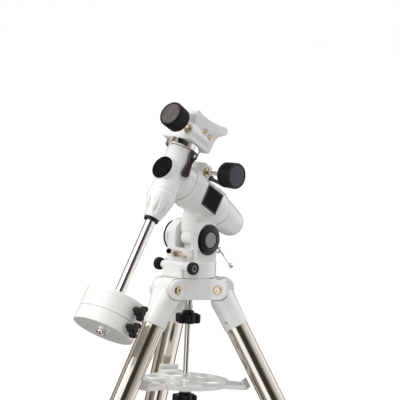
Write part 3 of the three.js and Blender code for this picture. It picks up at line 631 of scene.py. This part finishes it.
def make_hub():
    height = (HUB_LOW + HUB_HIGH) / 2 - 0.5
    corners, ears, slots, seats, holes = [], [], [], [], []
    for turn in spokes():
        for side in (-1, 1):
            corner = turn @ Vector((HINGE_RADIUS - 14, side * EAR_OUT, 0))
            corners.append((corner.x, corner.y))
            outline = ear_outline(EAR_RADIUS, HINGE_RADIUS - 30, 20, 21)
            y0, y1 = sorted((side * EAR_IN, side * EAR_OUT))
            ears.append(moved(ear(outline, y0, y1, 1.6), turn @ shift(HINGE_RADIUS, 0, height)))
            seat = along_y(rod(9, -3.2, 3.2, 0))
            seats.append(moved(seat, turn @ shift(HINGE_RADIUS, side * EAR_OUT, height)))
        reach = HINGE_RADIUS - EAR_RADIUS - 1.2
        slots.append(moved(block(reach, 120, -EAR_IN, EAR_IN, 650, 720), turn))
        hole = along_y(rod(SCREW_BORE, -50, 50, 0, 24))
        holes.append(moved(hole, turn @ shift(HINGE_RADIUS, 0, height)))
    body = join(plate(corners, HUB_LOW, HUB_HIGH, 6), *ears)
    body = cast(cut(body, *slots, *seats), 1.0, 5)
    body = cut(body, rod(BOLT + 0.3, 650, 720, 0), *holes)
    casting("tripod_hub_casting", body, FLOOR, "tripod", "tripod_hub")
    peg = rod(3.5, HUB_HIGH - 4, 728, 0.6, 36)
    piece("azimuth_peg", peg, FLOOR @ shift(0, -38.5, 0), "tripod", "turned_steel")


def squircle(half_x, half_y, power, height, count=64):
    ring = []
    for i in range(count):
        angle = 2 * math.pi * i / count
        c, s = math.cos(angle), math.sin(angle)
        x = half_x * math.copysign(abs(c) ** power, c)
        y = half_y * math.copysign(abs(s) ** power, s)
        ring.append((x, y, height))
    return ring


def leaning(mesh):
    """From the leg's own frame to the upright one on its hinge."""
    tilt = hinge_frame(1).inverted() @ leg_frame(1)
    return moved(mesh, tilt)


def socket_shape():
    sleeve = loft([
        squircle(24.3, 24.3, 1, -80), squircle(24.6, 24.8, 0.98, -45),
        squircle(25, 28.5, 0.86, -22), squircle(25, 30, 0.75, 0), squircle(25, 30, 0.72, 40),
    ])
    top = HUB_HIGH - (HUB_LOW + HUB_HIGH) / 2 + 0.5
    above = block(-80, 80, -50, 50, top, 90)
    hub = block(-80, -15, -50, 50, -60, 60)
    pocket = ear_outline(EAR_RADIUS + 0.9, 60, EAR_RADIUS + 0.9, EAR_RADIUS + 2.5)
    pockets = [ear(pocket, EAR_IN - 0.5, 50), ear(pocket, -50, -EAR_IN + 0.5)]
    core = block(-80, -EAR_RADIUS + 5.5, -50, 50, -EAR_RADIUS - 0.8, 60)
    body = cut(leaning(sleeve), above, hub, core, *pockets)
    body = join(body, along_y(rod(EAR_RADIUS, -EAR_IN + 0.5, EAR_IN - 0.5, 0)))
    body = cast(body, 1.0, 5)
    bore = leaning(rod(UPPER_TUBE + 0.25, -90, -31, 0, FINE))
    return cut(body, bore, along_y(rod(SCREW_BORE, -40, 40, 0, 24)))


def hinge_bolt_shape():
    """Washer and hexagonal head with a sunk recess, the same at both ends of the pin."""
    seat = EAR_OUT - 3
    ends = [rod(8.2, seat, seat + 1.2, 0.3), hex_head(6.4, seat + 1.2, seat + 5, 3.4)]
    flipped = [moved(mesh.copy(), spin(180, "X")) for mesh in ends]
    return along_y(join(rod(3.9, -seat - 1, seat + 1, 0, 24), *ends, *flipped))


def clamp_shape():
    ring = turned([
        (UPPER_TUBE + 0.3, -455), (UPPER_TUBE + 0.3, -480.3), (LOWER_TUBE + 0.3, -480.3),
        (LOWER_TUBE + 0.3, -520), (24, -520), (27, -515, 2), (27, -488), (27.8, -486), (27.8, -480),
        (27, -478), (27, -461, 2), (25, -455),
    ], 0.5, ring=True)
    boss = moved(rod(9, 20, 33, 1.5), CLAMP_SCREW)
    bosses = join(boss, moved(block(18, 30, -7, 7, -524, -462, 2, 1), FLOOR))
    room = rod(LOWER_TUBE + 0.3, -540, -481, 0, FINE)
    wide = rod(UPPER_TUBE + 0.3, -480.3, -440, 0, FINE)
    split = block(-40, 0, -0.8, 0.8, -530, -470)
    screw = moved(rod(SCREW_BORE, 15, 45, 0, 24), CLAMP_SCREW)
    return cut(join(ring, bosses), room, wide, split, screw)


def foot_shape():
    """A rubber boot with moulded rings, cut level with the floor."""
    bottom = -(HUB_LOW + HUB_HIGH) / 2 / math.cos(math.radians(LEG_LEAN)) - 30
    rings = [(24 if k % 2 else 23.1, -762 + 2.5 * k, 0.5) for k in range(9)]
    cup = turned([
        (0, bottom), (24, bottom), *rings, (22.5, -722, 1.5), (LOWER_TUBE + 0.3, -722),
        (LOWER_TUBE + 0.3, -748), (0, -748),
    ], 0.6)
    floor = hinge_height()
    return cut(leaning(cup), block(200, 700, -80, 80, -floor - 90, -floor, 0, 0))


def hinge_height():
    return hinge_frame(1).translation.z / MM


def make_legs():
    socket, bolt, clamp, foot = socket_shape(), hinge_bolt_shape(), clamp_shape(), foot_shape()
    upper = pipe(UPPER_TUBE, UPPER_BORE, -480, -32, 0.4, FINE)
    lower = pipe(LOWER_TUBE, LOWER_BORE, -747.5, -120, 0.4, FINE)
    knob = join(star_knob(15, 34, 50, 6, 3.2, 2), rod(4, LOWER_TUBE + 0.6, 36, 0.4, 24))
    grub = socket_screw(2.6, 0, 1.6)
    for n in LEGS:
        leg, hinge = leg_frame(n), hinge_frame(n)
        casting(f"leg_socket_casting_{n}", socket.copy(), hinge, "tripod", f"leg_socket_{n}")
        screw = leg @ CLAMP_SCREW
        for name, shape, where, body, look, node in (
            ("hinge_bolt_set", bolt, hinge, "tripod", "brass", "hinge_bolt"),
            ("upper_pipe", upper, leg, "tripod", "stainless_steel", "upper_tube"),
            ("clamp_collar", clamp, leg, "tripod", "white_enamel", "clamp"),
            ("clamp_star", knob, screw, f"clamp_knob_{n}", "black_plastic", "clamp_knob"),
            ("lower_pipe", lower, leg, f"leg_{n}", "stainless_steel", "lower_tube"),
            ("boot", foot, hinge, f"leg_{n}", "rubber", "foot"),
        ):
            piece(f"leg_{name}_{n}", shape.copy(), where, body, look, f"leg_{node}_{n}")
        for side in (-1, 1):
            seat = leg @ spin(side * 112, "Z") @ shift(24.0, 0, -64) @ spin(90, "Y")
            suffix = "a" if side < 0 else "b"
            piece(f"leg_grub_screw_{n}{suffix}", grub.copy(), seat, "tripod", "turned_steel")


def tray_outline(radius, reach, half, flare):
    """The disc with one tapering arm to each leg, as one closed outline."""
    points = []
    root = math.degrees(math.asin((half + flare) / radius))
    neck = radius * math.cos(math.radians(root))
    for turn in spokes():
        for angle in range(-60, 61, 4):
            if abs(angle) > root:
                spot = turn @ spin(angle, "Z") @ Vector((radius, 0, 0))
                points.append((spot.x, spot.y, 0))
            elif abs(angle) <= 2:
                arm = ((neck, -half - flare), (reach, -half), (reach, half), (neck, half + flare))
                for x, y in arm:
                    spot = turn @ Vector((x, y, 0))
                    points.append((spot.x, spot.y, 5))
    return points


def make_tray():
    top = TRAY_TOP
    sheet = plate(tray_outline(86, 124, 20, 6), top - 9, top, 0, 0)
    pocket = plate(tray_outline(84, 122, 18, 6), top - 12, top - 2.2, 0, 0)
    body = cut(bevelled(sheet, 1.2, 3, 50), pocket)
    collars, holes, tabs = [], [], []
    for turn in spokes():
        for x, radius in ((55, 25.6), (-60, 16.2)):
            collars.append(moved(rod(radius + 3, top - 6, top + 1.3, 1.0), turn @ shift(x)))
            holes.append(moved(rod(radius, top - 20, top + 9, 0), turn @ shift(x)))
        tab = block(-2.5, 0, -20, 20, -9, 12, 0, 0.8)
        tabs.append(moved(tab, turn @ shift(124, 0, top) @ spin(-LEG_LEAN, "Y")))
    spacer = turned([
        (0, 474), (9.8, 474), (9.8, 488), (12.5, 490), (12.5, top + 1), (0, top + 1),
    ], 0.8)
    body = join(body, *collars, *tabs, spacer)
    body = cut(body, *holes, rod(ROD + 0.3, 460, 520, 0))
    tray = bevelled(body, 0.5, 2, 50)
    look, node = "white_enamel", "accessory_tray"
    piece("accessory_tray_plate", tray, FLOOR, "tripod", look, node, crease=40)


def thread(radius, low, high, pitch):
    """A thread's outline, bottom first, as rings of crests and roots."""
    points = []
    for k in range(int((high - low) / pitch)):
        points += [(radius - 0.55, low + k * pitch, 0), (radius, low + (k + 0.5) * pitch, 0)]
    return points


def make_center_bolt():
    bolt = turned([
        (0, 460), (ROD - 1, 460), *thread(ROD, 461, 497, 1.5), (ROD, 498), (ROD, 636.3),
        (BOLT - 0.8, 636.3), *thread(BOLT, 638, 650, 1.5), (BOLT, 651), (BOLT, 722),
        (BOLT - 1.5, 724), (0, 724),
    ], 0.4)
    piece("center_bolt_rod", bolt, FLOOR, "lock_bolt", "chrome", "center_bolt")
    top = TRAY_NUT_TOP
    for name, body, node, low, collar in (
        ("mount_lock_star", "lock_bolt", "mount_lock_knob", 612, rod(11.7, 626, 636, 1)),
        ("tray_star", "tray_nut", "tray_knob", top - 23, rod(12, top - 9, top, 1)),
    ):
        knob = join(star_knob(25, low, low + 18, 6, 5.5, 3), collar)
        knob = cut(knob, rod(ROD + 0.3, 400, 700, 0))
        piece(name, knob, FLOOR, body, "black_plastic", node)


# Azimuth base, latitude fork and its screws ----


def fork_ear(x0, x1):
    crown = PIVOT.translation.z / MM + 7
    left, right = FORK_MIDDLE - FORK_RADIUS, FORK_MIDDLE + FORK_RADIUS
    outline = [(left, BASE_HIGH - 6, 0), (right, BASE_HIGH - 6, 0)]
    return side_plate(outline + arc(FORK_MIDDLE, crown, FORK_RADIUS, 0, 180, 32), x0, x1)


def azimuth_blank():
    """The round base with its nose, and the fork that stands on it."""
    disc = fine([
        (0, BASE_LOW), (BASE_RADIUS, BASE_LOW), (BASE_RADIUS, BASE_HIGH, 1.5), (0, BASE_HIGH),
    ], 0.3)
    nose = side_plate([
        (-50, BASE_LOW), (-20, BASE_LOW), (-20, BASE_HIGH), (-44, BASE_HIGH), (-50, BASE_HIGH - 5),
    ], -25, 25)
    screw_line = shift(0, SCREW_Y, SCREW_Z)
    walls = [
        block(-28, 28, -25, -20.5, BASE_HIGH - 4, LEVEL + 9),
        block(-28, 28, 20.5, 29, BASE_HIGH - 4, LEVEL + 9),
    ]
    bridge = block(-30, 30, -31, -20.5, LEVEL - 7, LEVEL + 11)
    ears = [fork_ear(FORK_IN, FORK_OUT), fork_ear(-FORK_OUT, -FORK_IN)]
    bosses, seats = [], []
    for side in (-1, 1):
        bosses.append(moved(rod(8, 23.5, 35.5), screw_line @ spin(side * 90, "Y")))
        seats.append(moved(rod(29, FORK_OUT - 1, CAP_SEAT), PIVOT @ spin(side * 90, "Y")))
    return join(disc, nose, bridge, *bosses, *walls, *ears, *seats)


def make_azimuth_base():
    screw_line = shift(0, SCREW_Y, SCREW_Z)
    tools = [
        block(-16, 16, -45, -32, BASE_LOW - 1, 733),
        moved(rod(SCREW_BORE, -60, 60, 0, 36), screw_line @ spin(90, "Y")),
        moved(rod(8.3, -60, 60, 0), PIVOT @ spin(90, "Y")),
        moved(rod(SCREW_BORE, -60, 60, 0, 36), shift(0, 0, LEVEL) @ spin(90, "X")),
        rod(BOLT + 0.3, BASE_LOW - 1, 727, 0),
    ]
    for side in (-1, 1):
        tools.append(moved(rod(13.3, 35.7, 60, 0), screw_line @ spin(side * 90, "Y")))
    body = cut(cast(azimuth_blank(), 1.0, 5), *tools)
    casting("azimuth_fork_casting", body, FLOOR, "azimuth", "azimuth_base")


def knurled(radius, low, high, ribs, face):
    """A small knob with fine ribs and a ring round a sunken face."""
    def wave(angle, reach):
        return reach - (0.55 * (0.5 - 0.5 * math.cos(ribs * angle)) if reach > radius * 0.9 else 0)
    return turned([
        (0, low), (radius - 2, low), (radius, low + 1.5), (radius, high - 1.5),
        (radius - 1.3, high), (face + 1.2, high), (face, high - 1.6), (face * 0.6, high - 1.6),
        (face * 0.55, high - 0.6), (0, high - 0.6),
    ], 0.35, steps=ribs * 8, wave=wave)


def make_azimuth_screws():
    for side, name in SIDES:
        where = FLOOR @ shift(0, SCREW_Y, SCREW_Z) @ spin(side * 90, "Y")
        body = f"azimuth_{name}"
        knob = knurled(12.5, 40, 51, 26, 7)
        piece(f"azimuth_knob_{name}", knob, where, body, "black_plastic", f"azimuth_screw_{name}")
        profile = [(0, 49.1), (6.6, 49.1), (6.6, 49.9), (5.4, 50.3), (4.2, 49.7), (0, 49.7)]
        face = fine(profile, 0.2)
        piece(f"azimuth_knob_face_{name}", face, where, body, "cap_grey")
        profile = [(0, 3.8), (2.6, 3.8), (4, 6), *thread(4, 7, 38, 1.0), (4, 42), (0, 42)]
        shank = turned(profile, 0.2, steps=36)
        piece(f"azimuth_shank_{name}", shank, where, body, "turned_steel")


def make_latitude_caps():
    face = CAP_SEAT + 0.3
    ring = fine([
        (0, face), (CAP_RADIUS, face), (CAP_RADIUS, face + 2), (27, face + 5, 1.2),
        (17, face + 7.5, 0.6), (15.6, face + 5.6), (0, face + 5.6),
    ], 0.4)
    insert = fine([
        (0, face + 5.6), (15.2, face + 5.6), (15, face + 6.8), (0, face + 7),
    ], 0.5)
    for side, name in SIDES:
        where = PIVOT @ spin(side * 90, "Y")
        node = "latitude_cap" if side > 0 else "latitude_bolt"
        piece(f"latitude_cap_ring_{name}", ring.copy(), where, "azimuth", "black_plastic", node)
        piece(f"latitude_cap_face_{name}", insert.copy(), where, "azimuth", "cap_grey")
    shank = rod(8, -CAP_SEAT + 1, CAP_SEAT - 1, 0.5)
    piece("latitude_bolt_shank", shank, PIVOT @ spin(90, "Y"), "azimuth", "turned_steel")


def handle_ball(radius, reach, out):
    """A ball on a handle's end, with the short collar that it screws on by."""
    swell = []
    for k in range(2, 15):
        angle = math.pi * k / 14
        height = reach - out * radius * math.cos(angle)
        swell.append((round(radius * math.sin(angle), 5), height, 0))
    near = reach - out * (radius + 1)
    profile = [(0, near), (radius * 0.5, near), (radius * 0.5, swell[0][1]), *swell]
    return turned(profile if out > 0 else profile[::-1], 0.2, steps=36)


def make_latitude_screws():
    """A bolt with a hexagonal collar and a thin cross handle with a ball on each end."""
    level = FLOOR @ shift(0, 0, LEVEL)
    for name, head, long, short, lean, turn, colours in (
        ("north", 36.5, 22, 22, 82, 90, ("brass", "deep_black", "brass")),
        ("south", 80, 43, 13, -50, -90, ("chrome", "chrome", "chrome")),
    ):
        where = level @ spin(turn, "X")
        body = f"latitude_{name}"
        end = [(4, head - 6), (4, head + 1), (0, head + 1)]
        profile = [(0, 9.3), (2.5, 9.3), (4, 11), *thread(4, 12, head - 8, 1.0), *end]
        shank, node = turned(profile, 0.2, steps=36), f"latitude_screw_{name}"
        piece(f"latitude_screw_shank_{name}", shank, where, body, "chrome", node)
        collar = join(rod(5.4, head - 1.2, head, 0.4, 36), hex_head(6.8, head - 0.5, head + 7.5))
        piece(f"latitude_screw_head_{name}", collar, where, body, colours[0])
        cross = where @ shift(0, 0, head + 3.5) @ spin(lean, "Z") @ spin(-90, "X")
        handle = rod(1.8, -short, long, 0.3, 36)
        piece(f"latitude_screw_handle_{name}", handle, cross, body, "chrome")
        for end_name, radius, reach, out, colour in (
            ("long", 5.2, long, 1, colours[1]), ("short", 4, -short, -1, colours[2]),
        ):
            shape = handle_ball(radius, reach, out)
            piece(f"latitude_screw_ball_{name}_{end_name}", shape, cross, body, colour)


# Right ascension ----


def tongue():
    web = [(-20, -84), (-60, -97), (-74, -102), (-74, -138), (-60, -146), (-20, -152)]
    wide = FORK_IN - 0.6
    plate_shape = side_plate(web, -wide, wide, 6)
    barrel = moved(along_x(rod(16, -14.5, 14.5, 0)), shift(0, -POLAR_OFFSET, -POLAR_REACH))
    drop = 30
    lug = moved(along_x(rod(9, -14.5, 14.5, 0)), shift(0, 0, -drop))
    neck = block(-14.5, 14.5, -5.5, 5.5, -drop, -10)
    foot = moved(join(lug, neck), shift(0, -POLAR_OFFSET, -POLAR_REACH) @ spin(-60, "X"))
    return [plate_shape, barrel, foot]


def make_ra_housing():
    barrel = fine([
        (0, RA_REAR), (33.5, RA_REAR), (36, RA_REAR + 8), (RA_RADIUS, RA_REAR + 20),
        (RA_RADIUS, -69), (39.5, -68), (39.5, -53.5), (38.5, RA_FRONT), (0, RA_FRONT),
    ], 0.8)
    pad = block(10, 36.3, -26, 22, -122, -69.5, 0, 1)
    worm_block = block(-30, 18, 20, 59, -83, -57, 0, 2)
    cover = moved(block(-5, 5, -3, 3, -13, 13), shift(0, 38, -146))
    body = join(barrel, pad, worm_block, cover, *tongue())
    body = cast(cut(body, block(36.3, 50, -26, 22, -122, -69.5)), 1.0, 6)
    tools = [
        rod(17, RA_REAR - 5, RA_FRONT + 5, 0), rod(33.3, -79, -61, 0),
        moved(along_x(rod(10, -27, 40, 0)), shift(0, 43, -70)),
        moved(along_x(rod(8.3, -30, 30, 0)), shift(0, -POLAR_OFFSET, -POLAR_REACH)),
        moved(along_y(rod(PIN_BORE, 20, 50, 0, 24)), shift(8, 0, -94)),
    ]
    body = cut(body, *tools)
    casting("ra_housing_casting", body, CROSSING, "polar_body", "ra_housing")


def make_rear_cap():
    def dome(radius):
        angles = [k * 1.35 / 18 for k in range(19)]
        return [(radius * math.sin(t), -202 - radius * math.cos(t), 0) for t in angles]
    seam = RA_REAR - 0.4
    shell = fine([
        *dome(27.5), (31, -182, 8), (33, -168, 8), (33.5, seam, 0.5), (30.5, seam), (30, -168),
        (28, -182), *reversed(dome(24.5)),
    ], 0.5)
    piece("ra_rear_dome", shell, CROSSING, "rear_cap", "white_enamel", "ra_rear_cap")


def make_label():
    """A blank plate with a thin frame line: what it says in life is left out."""
    where = CROSSING @ shift(36.35, -2, -95) @ spin(90, "Y") @ spin(180, "Z")
    label = block(-24, 24, -22, 22, 0, 1.0, 1.5, 0.3)
    piece("ra_label", label, where, "polar_body", "label_face", "ra_label_plate")
    inside = block(-21.5, 21.5, -19.5, 19.5, 0, 2, 0.6)
    frame_line = cut(block(-22.2, 22.2, -20.2, 20.2, 0.9, 1.15, 1), inside)
    piece("ra_label_border", frame_line, where, "polar_body", "cap_grey")


def make_ra_axis():
    circle = pipe(38.3, 16.9, RA_FRONT + 0.3, -38.3, 0.8, FINE)
    piece("ra_circle_ring", circle, CROSSING, "ra_circle", "white_enamel", "ra_setting_circle")
    shaft = turned([
        (10, -150), (16.6, -150), (16.6, -77), (33, -77), (33, -63), (16.6, -63), (16.6, -38),
        (10, -38),
    ], 0.4, ring=True)
    piece("ra_axis_shaft", shaft, CROSSING, "ra_carrier", "turned_steel", "ra_shaft")


def worm_and_shaft(radius, low, top, end):
    return turned([
        (0, low), (3.8, low), (3.8, low + 3), *thread(radius, low + 4, top, 2.4),
        (4, top + 1), (4, end), (0, end),
    ], 0.2, steps=48)


def slotted_bushing(outer, low, high):
    """A threaded brass bushing with two spanner slots in its face."""
    sleeve = turned([(4.3, low), (outer, low), (outer, high, 1.2), (4.3, high)], 0.3, ring=True)
    slot = block(-outer - 2, outer + 2, -1.3, 1.3, high - 2, high + 2)
    return cut(sleeve, slot)


def drive_knob(name, low, where, body, face, node):
    knob = cut(ribbed_knob(25.5, low, low + 33, 34), rod(SCREW_BORE, low - 2, low + 16, 0, 36))
    piece(f"{name}_grip", knob, where, body, "black_plastic", node)
    profile = [(0, low + 31.4), (21, low + 31.4), (21, low + 32.1), (0, low + 32.4)]
    piece(f"{name}_face", fine(profile, 0.3), where, body, face)
    hub = turned([(4.3, low - 3), (7, low - 3), (8, low), (4.3, low)], 0.4, ring=True, steps=48)
    piece(f"{name}_hub", hub, where, body, "black_plastic")


def lever_shape(reach, thick, wide, depth, waist=0.52, tip=0.74):
    """A lever that narrows at its waist, with a raised boss on its pivot."""
    head = arc(0, 0, wide, 60, 300, 20)
    end = arc(reach, 0, wide * tip, -75, 75, 12)
    outline = [*head, (reach * 0.42, -wide * waist, 12), *end, (reach * 0.42, wide * waist, 12)]
    arm = plate(outline, 0, thick, 0, min(1.6, thick * 0.3))
    boss = rod(wide - 1.4, thick - 1, thick + 2.4, 0.9)
    sunk = rod(wide * 0.55, thick + 1.2, thick + 4, 0)
    return cut(join(arm, boss, rod(3, -depth, 1, 0.3, 24)), sunk)


def make_ra_drive():
    worm, bushing = worm_and_shaft(9, -26, 8, 81), slotted_bushing(9.4, 10, 22)
    piece("ra_worm_shaft", worm, RA_DRIVE, "ra_drive", "chrome", "ra_worm")
    piece("ra_worm_bushing", bushing, RA_DRIVE, "polar_body", "brass", "ra_bushing")
    drive_knob("ra_knob", 66, RA_DRIVE, "ra_drive", "gloss_face", "ra_knob")
    where = CROSSING @ shift(8, 39.5, -94) @ spin(-90, "X") @ spin(56, "Z")
    lever = lever_shape(reach=30, thick=5.5, wide=8, depth=14)
    piece("ra_lever_arm", lever, where, "ra_lever", "grey_plastic", "ra_lock_lever")


# Declination ----


def make_dec_housing():
    barrel = rod(DEC_RADIUS, DEC_BOTTOM + 0.3, DEC_TOP, 0.6, FINE)
    sleeve = fine([(0, 0), (24, 0), (28, 10), (36, 22), (36, 37.7), (0, 37.7)], 0.6)
    boss = fine([(0, -27.3), (24.3, -27.3), (24.8, -24), (24.8, 0), (0, 0)], 0.6)
    body = cast(join(barrel, along_y(sleeve), along_y(boss)), 0.9, 6)
    tools = [
        rod(13.3, -60, 70, 0), along_y(rod(10, -40, 45, 0)), along_y(rod(23.0, -40, -26.2, 0)),
        moved(along_x(rod(PIN_BORE, 5, 40, 0, 24)), shift(0, 3, 44.3)),
    ]
    body = cut(body, *tools)
    casting("dec_housing_casting", body, DEC, "ra_carrier", "dec_housing")


def make_polar_cap():
    cap = fine([
        (0, 21), (9.7, 21), (9.7, 27.6), (22.7, 27.6), (22.7, 31.4, 0.9), (20.6, 32, 0.3), (20, 31),
        (0, 30.8),
    ], 0.4)
    piece("polar_cap_disc", cap, CROSSING, "polar_cap", "deep_black", "polar_front_cap")


def make_dec_axis():
    circle = pipe(34, 17.3, DEC_TOP + 0.3, DEC_TOP + 13, 0.9, FINE)
    piece("dec_circle_ring", circle, DEC, "dec_circle", "chrome", "dec_setting_circle")
    marks = []
    for k in range(72):
        tall = 4.5 if k % 6 == 0 else 2.6
        mark = block(33.98, 34.06, -0.18, 0.18, DEC_TOP + 1.4, DEC_TOP + 1.4 + tall)
        marks.append(moved(mark, spin(5 * k, "Z")))
    piece("dec_circle_marks", gathered(marks), DEC, "dec_circle", "black_plastic")
    pointer = bevelled(plate([(-3, 0), (3, 0), (3, 8), (0, 12), (-3, 8)], 0, 1.4), 0.3)
    where = DEC @ spin(-150, "Z") @ shift(27.0, 0, 42) @ spin(90, "Z") @ spin(90, "X")
    piece("dec_pointer", pointer, where, "ra_carrier", "turned_steel")


def gathered(meshes):
    """Many small separate shapes as one mesh."""
    points, faces = [], []
    for mesh in meshes:
        start = len(points)
        points += [tuple(v.co) for v in mesh.vertices]
        faces += [tuple(start + i for i in p.vertices) for p in mesh.polygons]
    return mesh_of(points, faces)


def make_nose():
    profile = [
        (0, NOSE_LOW), (16, NOSE_LOW, 1), (22, -80, 12), (27.5, -58, 10), (28.5, -46, 4),
        (27.5, DEC_BOTTOM, 0.8), (0, DEC_BOTTOM),
    ]
    flutes = []
    for k in range(8):
        ball = turned([(0, -21), (1.4, -19, 1), (5.2, 10, 3), (3.8, 17, 3), (0, 19)], 0.5, steps=36)
        lean = shift(24.2, 0, -74) @ spin(17, "Y") @ spin(180, "X")
        flutes.append(moved(ball, spin(45 * k, "Z") @ lean))
    body = cut(fine(profile, 0.5), *flutes)
    body = bevelled(body, 0.5, 3, 24)
    body = cut(body, rod(10.3, -110, -45, 0))
    piece("dec_nose_cone", body, DEC, "ra_carrier", "white_enamel", "dec_nose")


def make_saddle():
    side = [
        (-30, 67), (-30, 96), (-44, 112), (-46, 124), (-30, 121), (-5, 121), (22, 125), (44, 132),
        (54, 129), (54, 121), (38, 106), (36, 67),
    ]
    section = [
        (-36, 60), (38, 60), (38, 98), (45, 114), (45, 136), (21.5, 136), (24, 112), (-24, 112),
        (-21.5, 136), (-45, 136), (-45, 114), (-36, 98),
    ]
    across = moved(plate(section, -60, 60), spin(90, "X"))
    body = common(side_plate(side, -50, 50, 3), across)
    boss = moved(along_y(rod(12.5, -34, 26, 0)), shift(29, 0, 85))
    skirt = rod(33, DEC_TOP + 13.5, 72, 0, FINE)
    body = cast(join(body, block(-15, 15, -40, 42, 110, 113), boss, skirt), 0.9, 5)
    tools = [
        rod(20.3, 60, 92, 0), rod(13.3, 80, 97, 0),
        moved(along_y(rod(9, -40, 22, 0)), shift(29, 0, 85)),
        moved(along_x(rod(PIN_BORE, -50, -20, 0, 24)), shift(0, CLAMP_Y, CLAMP_HEIGHT)),
    ]
    for y, z in SADDLE_SCREWS:
        tools.append(moved(along_x(rod(6.6, 35.8, 60, 0)), shift(0, y, z)))
    casting("saddle_casting", cut(body, *tools), DEC, "dec_turret", "saddle")
    for k, (y, z) in enumerate(SADDLE_SCREWS):
        where = DEC @ shift(35.6, y, z) @ spin(90, "Y")
        piece(f"saddle_socket_screw_{k + 1}", socket_screw(5, 0, 3.2), where, "dec_turret", "brass")
    knob = join(star_knob(10, 52, 68, 6, 2, 1.5), rod(3, 22.5, 53, 0.3, 24))
    where = DEC @ shift(0, CLAMP_Y, CLAMP_HEIGHT) @ spin(-90, "Y")
    piece("saddle_clamp_star", knob, where, "saddle_clamp", "black_plastic", "saddle_clamp_knob")


def make_dec_drive():
    worm, bushing = worm_and_shaft(8.4, -21, 18, 76), slotted_bushing(8.7, 20, 37)
    piece("dec_worm_shaft", worm, DEC_DRIVE, "dec_drive", "chrome", "dec_worm")
    piece("dec_worm_bushing", bushing, DEC_DRIVE, "dec_turret", "brass", "dec_bushing")
    drive_knob("dec_knob", 62, DEC_DRIVE, "dec_drive", "knob_face", "dec_knob")
    where = DEC @ shift(29, 3, 44.3) @ spin(90, "Y")
    lever = lever_shape(reach=36, thick=7, wide=9.4, depth=12, waist=0.5, tip=1.02)
    piece("dec_lever_arm", lever, where, "dec_lever", "brown_plastic", "dec_lock_lever")
    piece("dec_lever_screw", socket_screw(3.6, 7.6, 9.2), where, "dec_lever", "turned_steel")


def make_counterweights():
    profile = [(0, -338), (4.3, -338), (10, -337), (10, -103.3), (10, -46), (0, -46)]
    shaft = fine(profile, 0.5)
    piece("weight_bar", shaft, DEC, "ra_carrier", "chrome", "counterweight_shaft")
    nut = pipe(14.7, 10.05, -103, -97.3, 1.2)
    piece("weight_bar_collar", nut, DEC, "ra_carrier", "black_plastic")
    saver = turned([
        (0, -344), (4, -344), (5, -342.6), (9, -342.6), (10, -344), (12.5, -344), (12.5, -339.3),
        (4, -339.3), (4, -324), (0, -324),
    ], 0.5)
    piece("toe_saver_cap", saver, DEC, "ra_carrier", "chrome", "toe_saver")
    make_weight("upper", WEIGHT_SPLIT + 0.3, WEIGHT_HIGH)
    make_weight("lower", WEIGHT_LOW, WEIGHT_SPLIT)


def make_weight(which, low, high):
    """A cast disc with turned grooves in its rim."""
    rim = WEIGHT_RADIUS
    grooves = []
    for k in (1, 2, 3):
        at = low + (high - low) * k / 4
        grooves += [(rim, at - 0.5, 0), (rim - 0.5, at, 0), (rim, at + 0.5, 0)]
    disc = turned([
        (10.6, low), (rim, low, 2), *grooves, (rim, high, 2), (10.6, high),
    ], 0.8, ring=True, steps=128)
    level = (low + high) / 2 + 1
    disc = cut(disc, moved(along_x(rod(SCREW_BORE, 5, 80, 0, 36)), shift(0, 0, level)))
    body, node = f"weight_{which}", f"counterweight_{which}"
    piece(f"weight_disc_{which}", disc, DEC, body, "cream_enamel", node)
    where = DEC @ shift(0, 0, level) @ spin(90, "Y")
    arms = []
    for angle in range(0, 360, 120):
        turn = spin(angle + 28.6, "Z")
        arms.append(moved(rod(5.6, 66.5, 80.5, 2.2, 36), turn @ shift(11.2)))
        arms.append(moved(block(0, 11, -4.4, 4.4, 67, 79.5, 0, 1.5), turn))
    knob = join(turned([(0, 63), (7.5, 63), (9, 68), (9, 80), (6, 81.5), (0, 81.5)], 1.2), *arms)
    knob = cast(knob, 0.5, 4)
    name, node = f"weight_knob_{which}", f"counterweight_knob_{which}"
    piece(f"{name}_grip", knob, where, name, "black_plastic", node, weighted=False)
    piece(f"{name}_screw", rod(4, 10.6, 66, 0.4, 36), where, name, "turned_steel")


for make in (
    make_studio, make_hub, make_legs, make_tray, make_center_bolt, make_azimuth_base,
    make_azimuth_screws, make_latitude_caps, make_latitude_screws, make_ra_housing, make_rear_cap,
    make_label, make_ra_axis, make_ra_drive, make_dec_housing, make_polar_cap, make_dec_axis,
    make_nose, make_saddle, make_dec_drive, make_counterweights, carry_over,
):
    make()
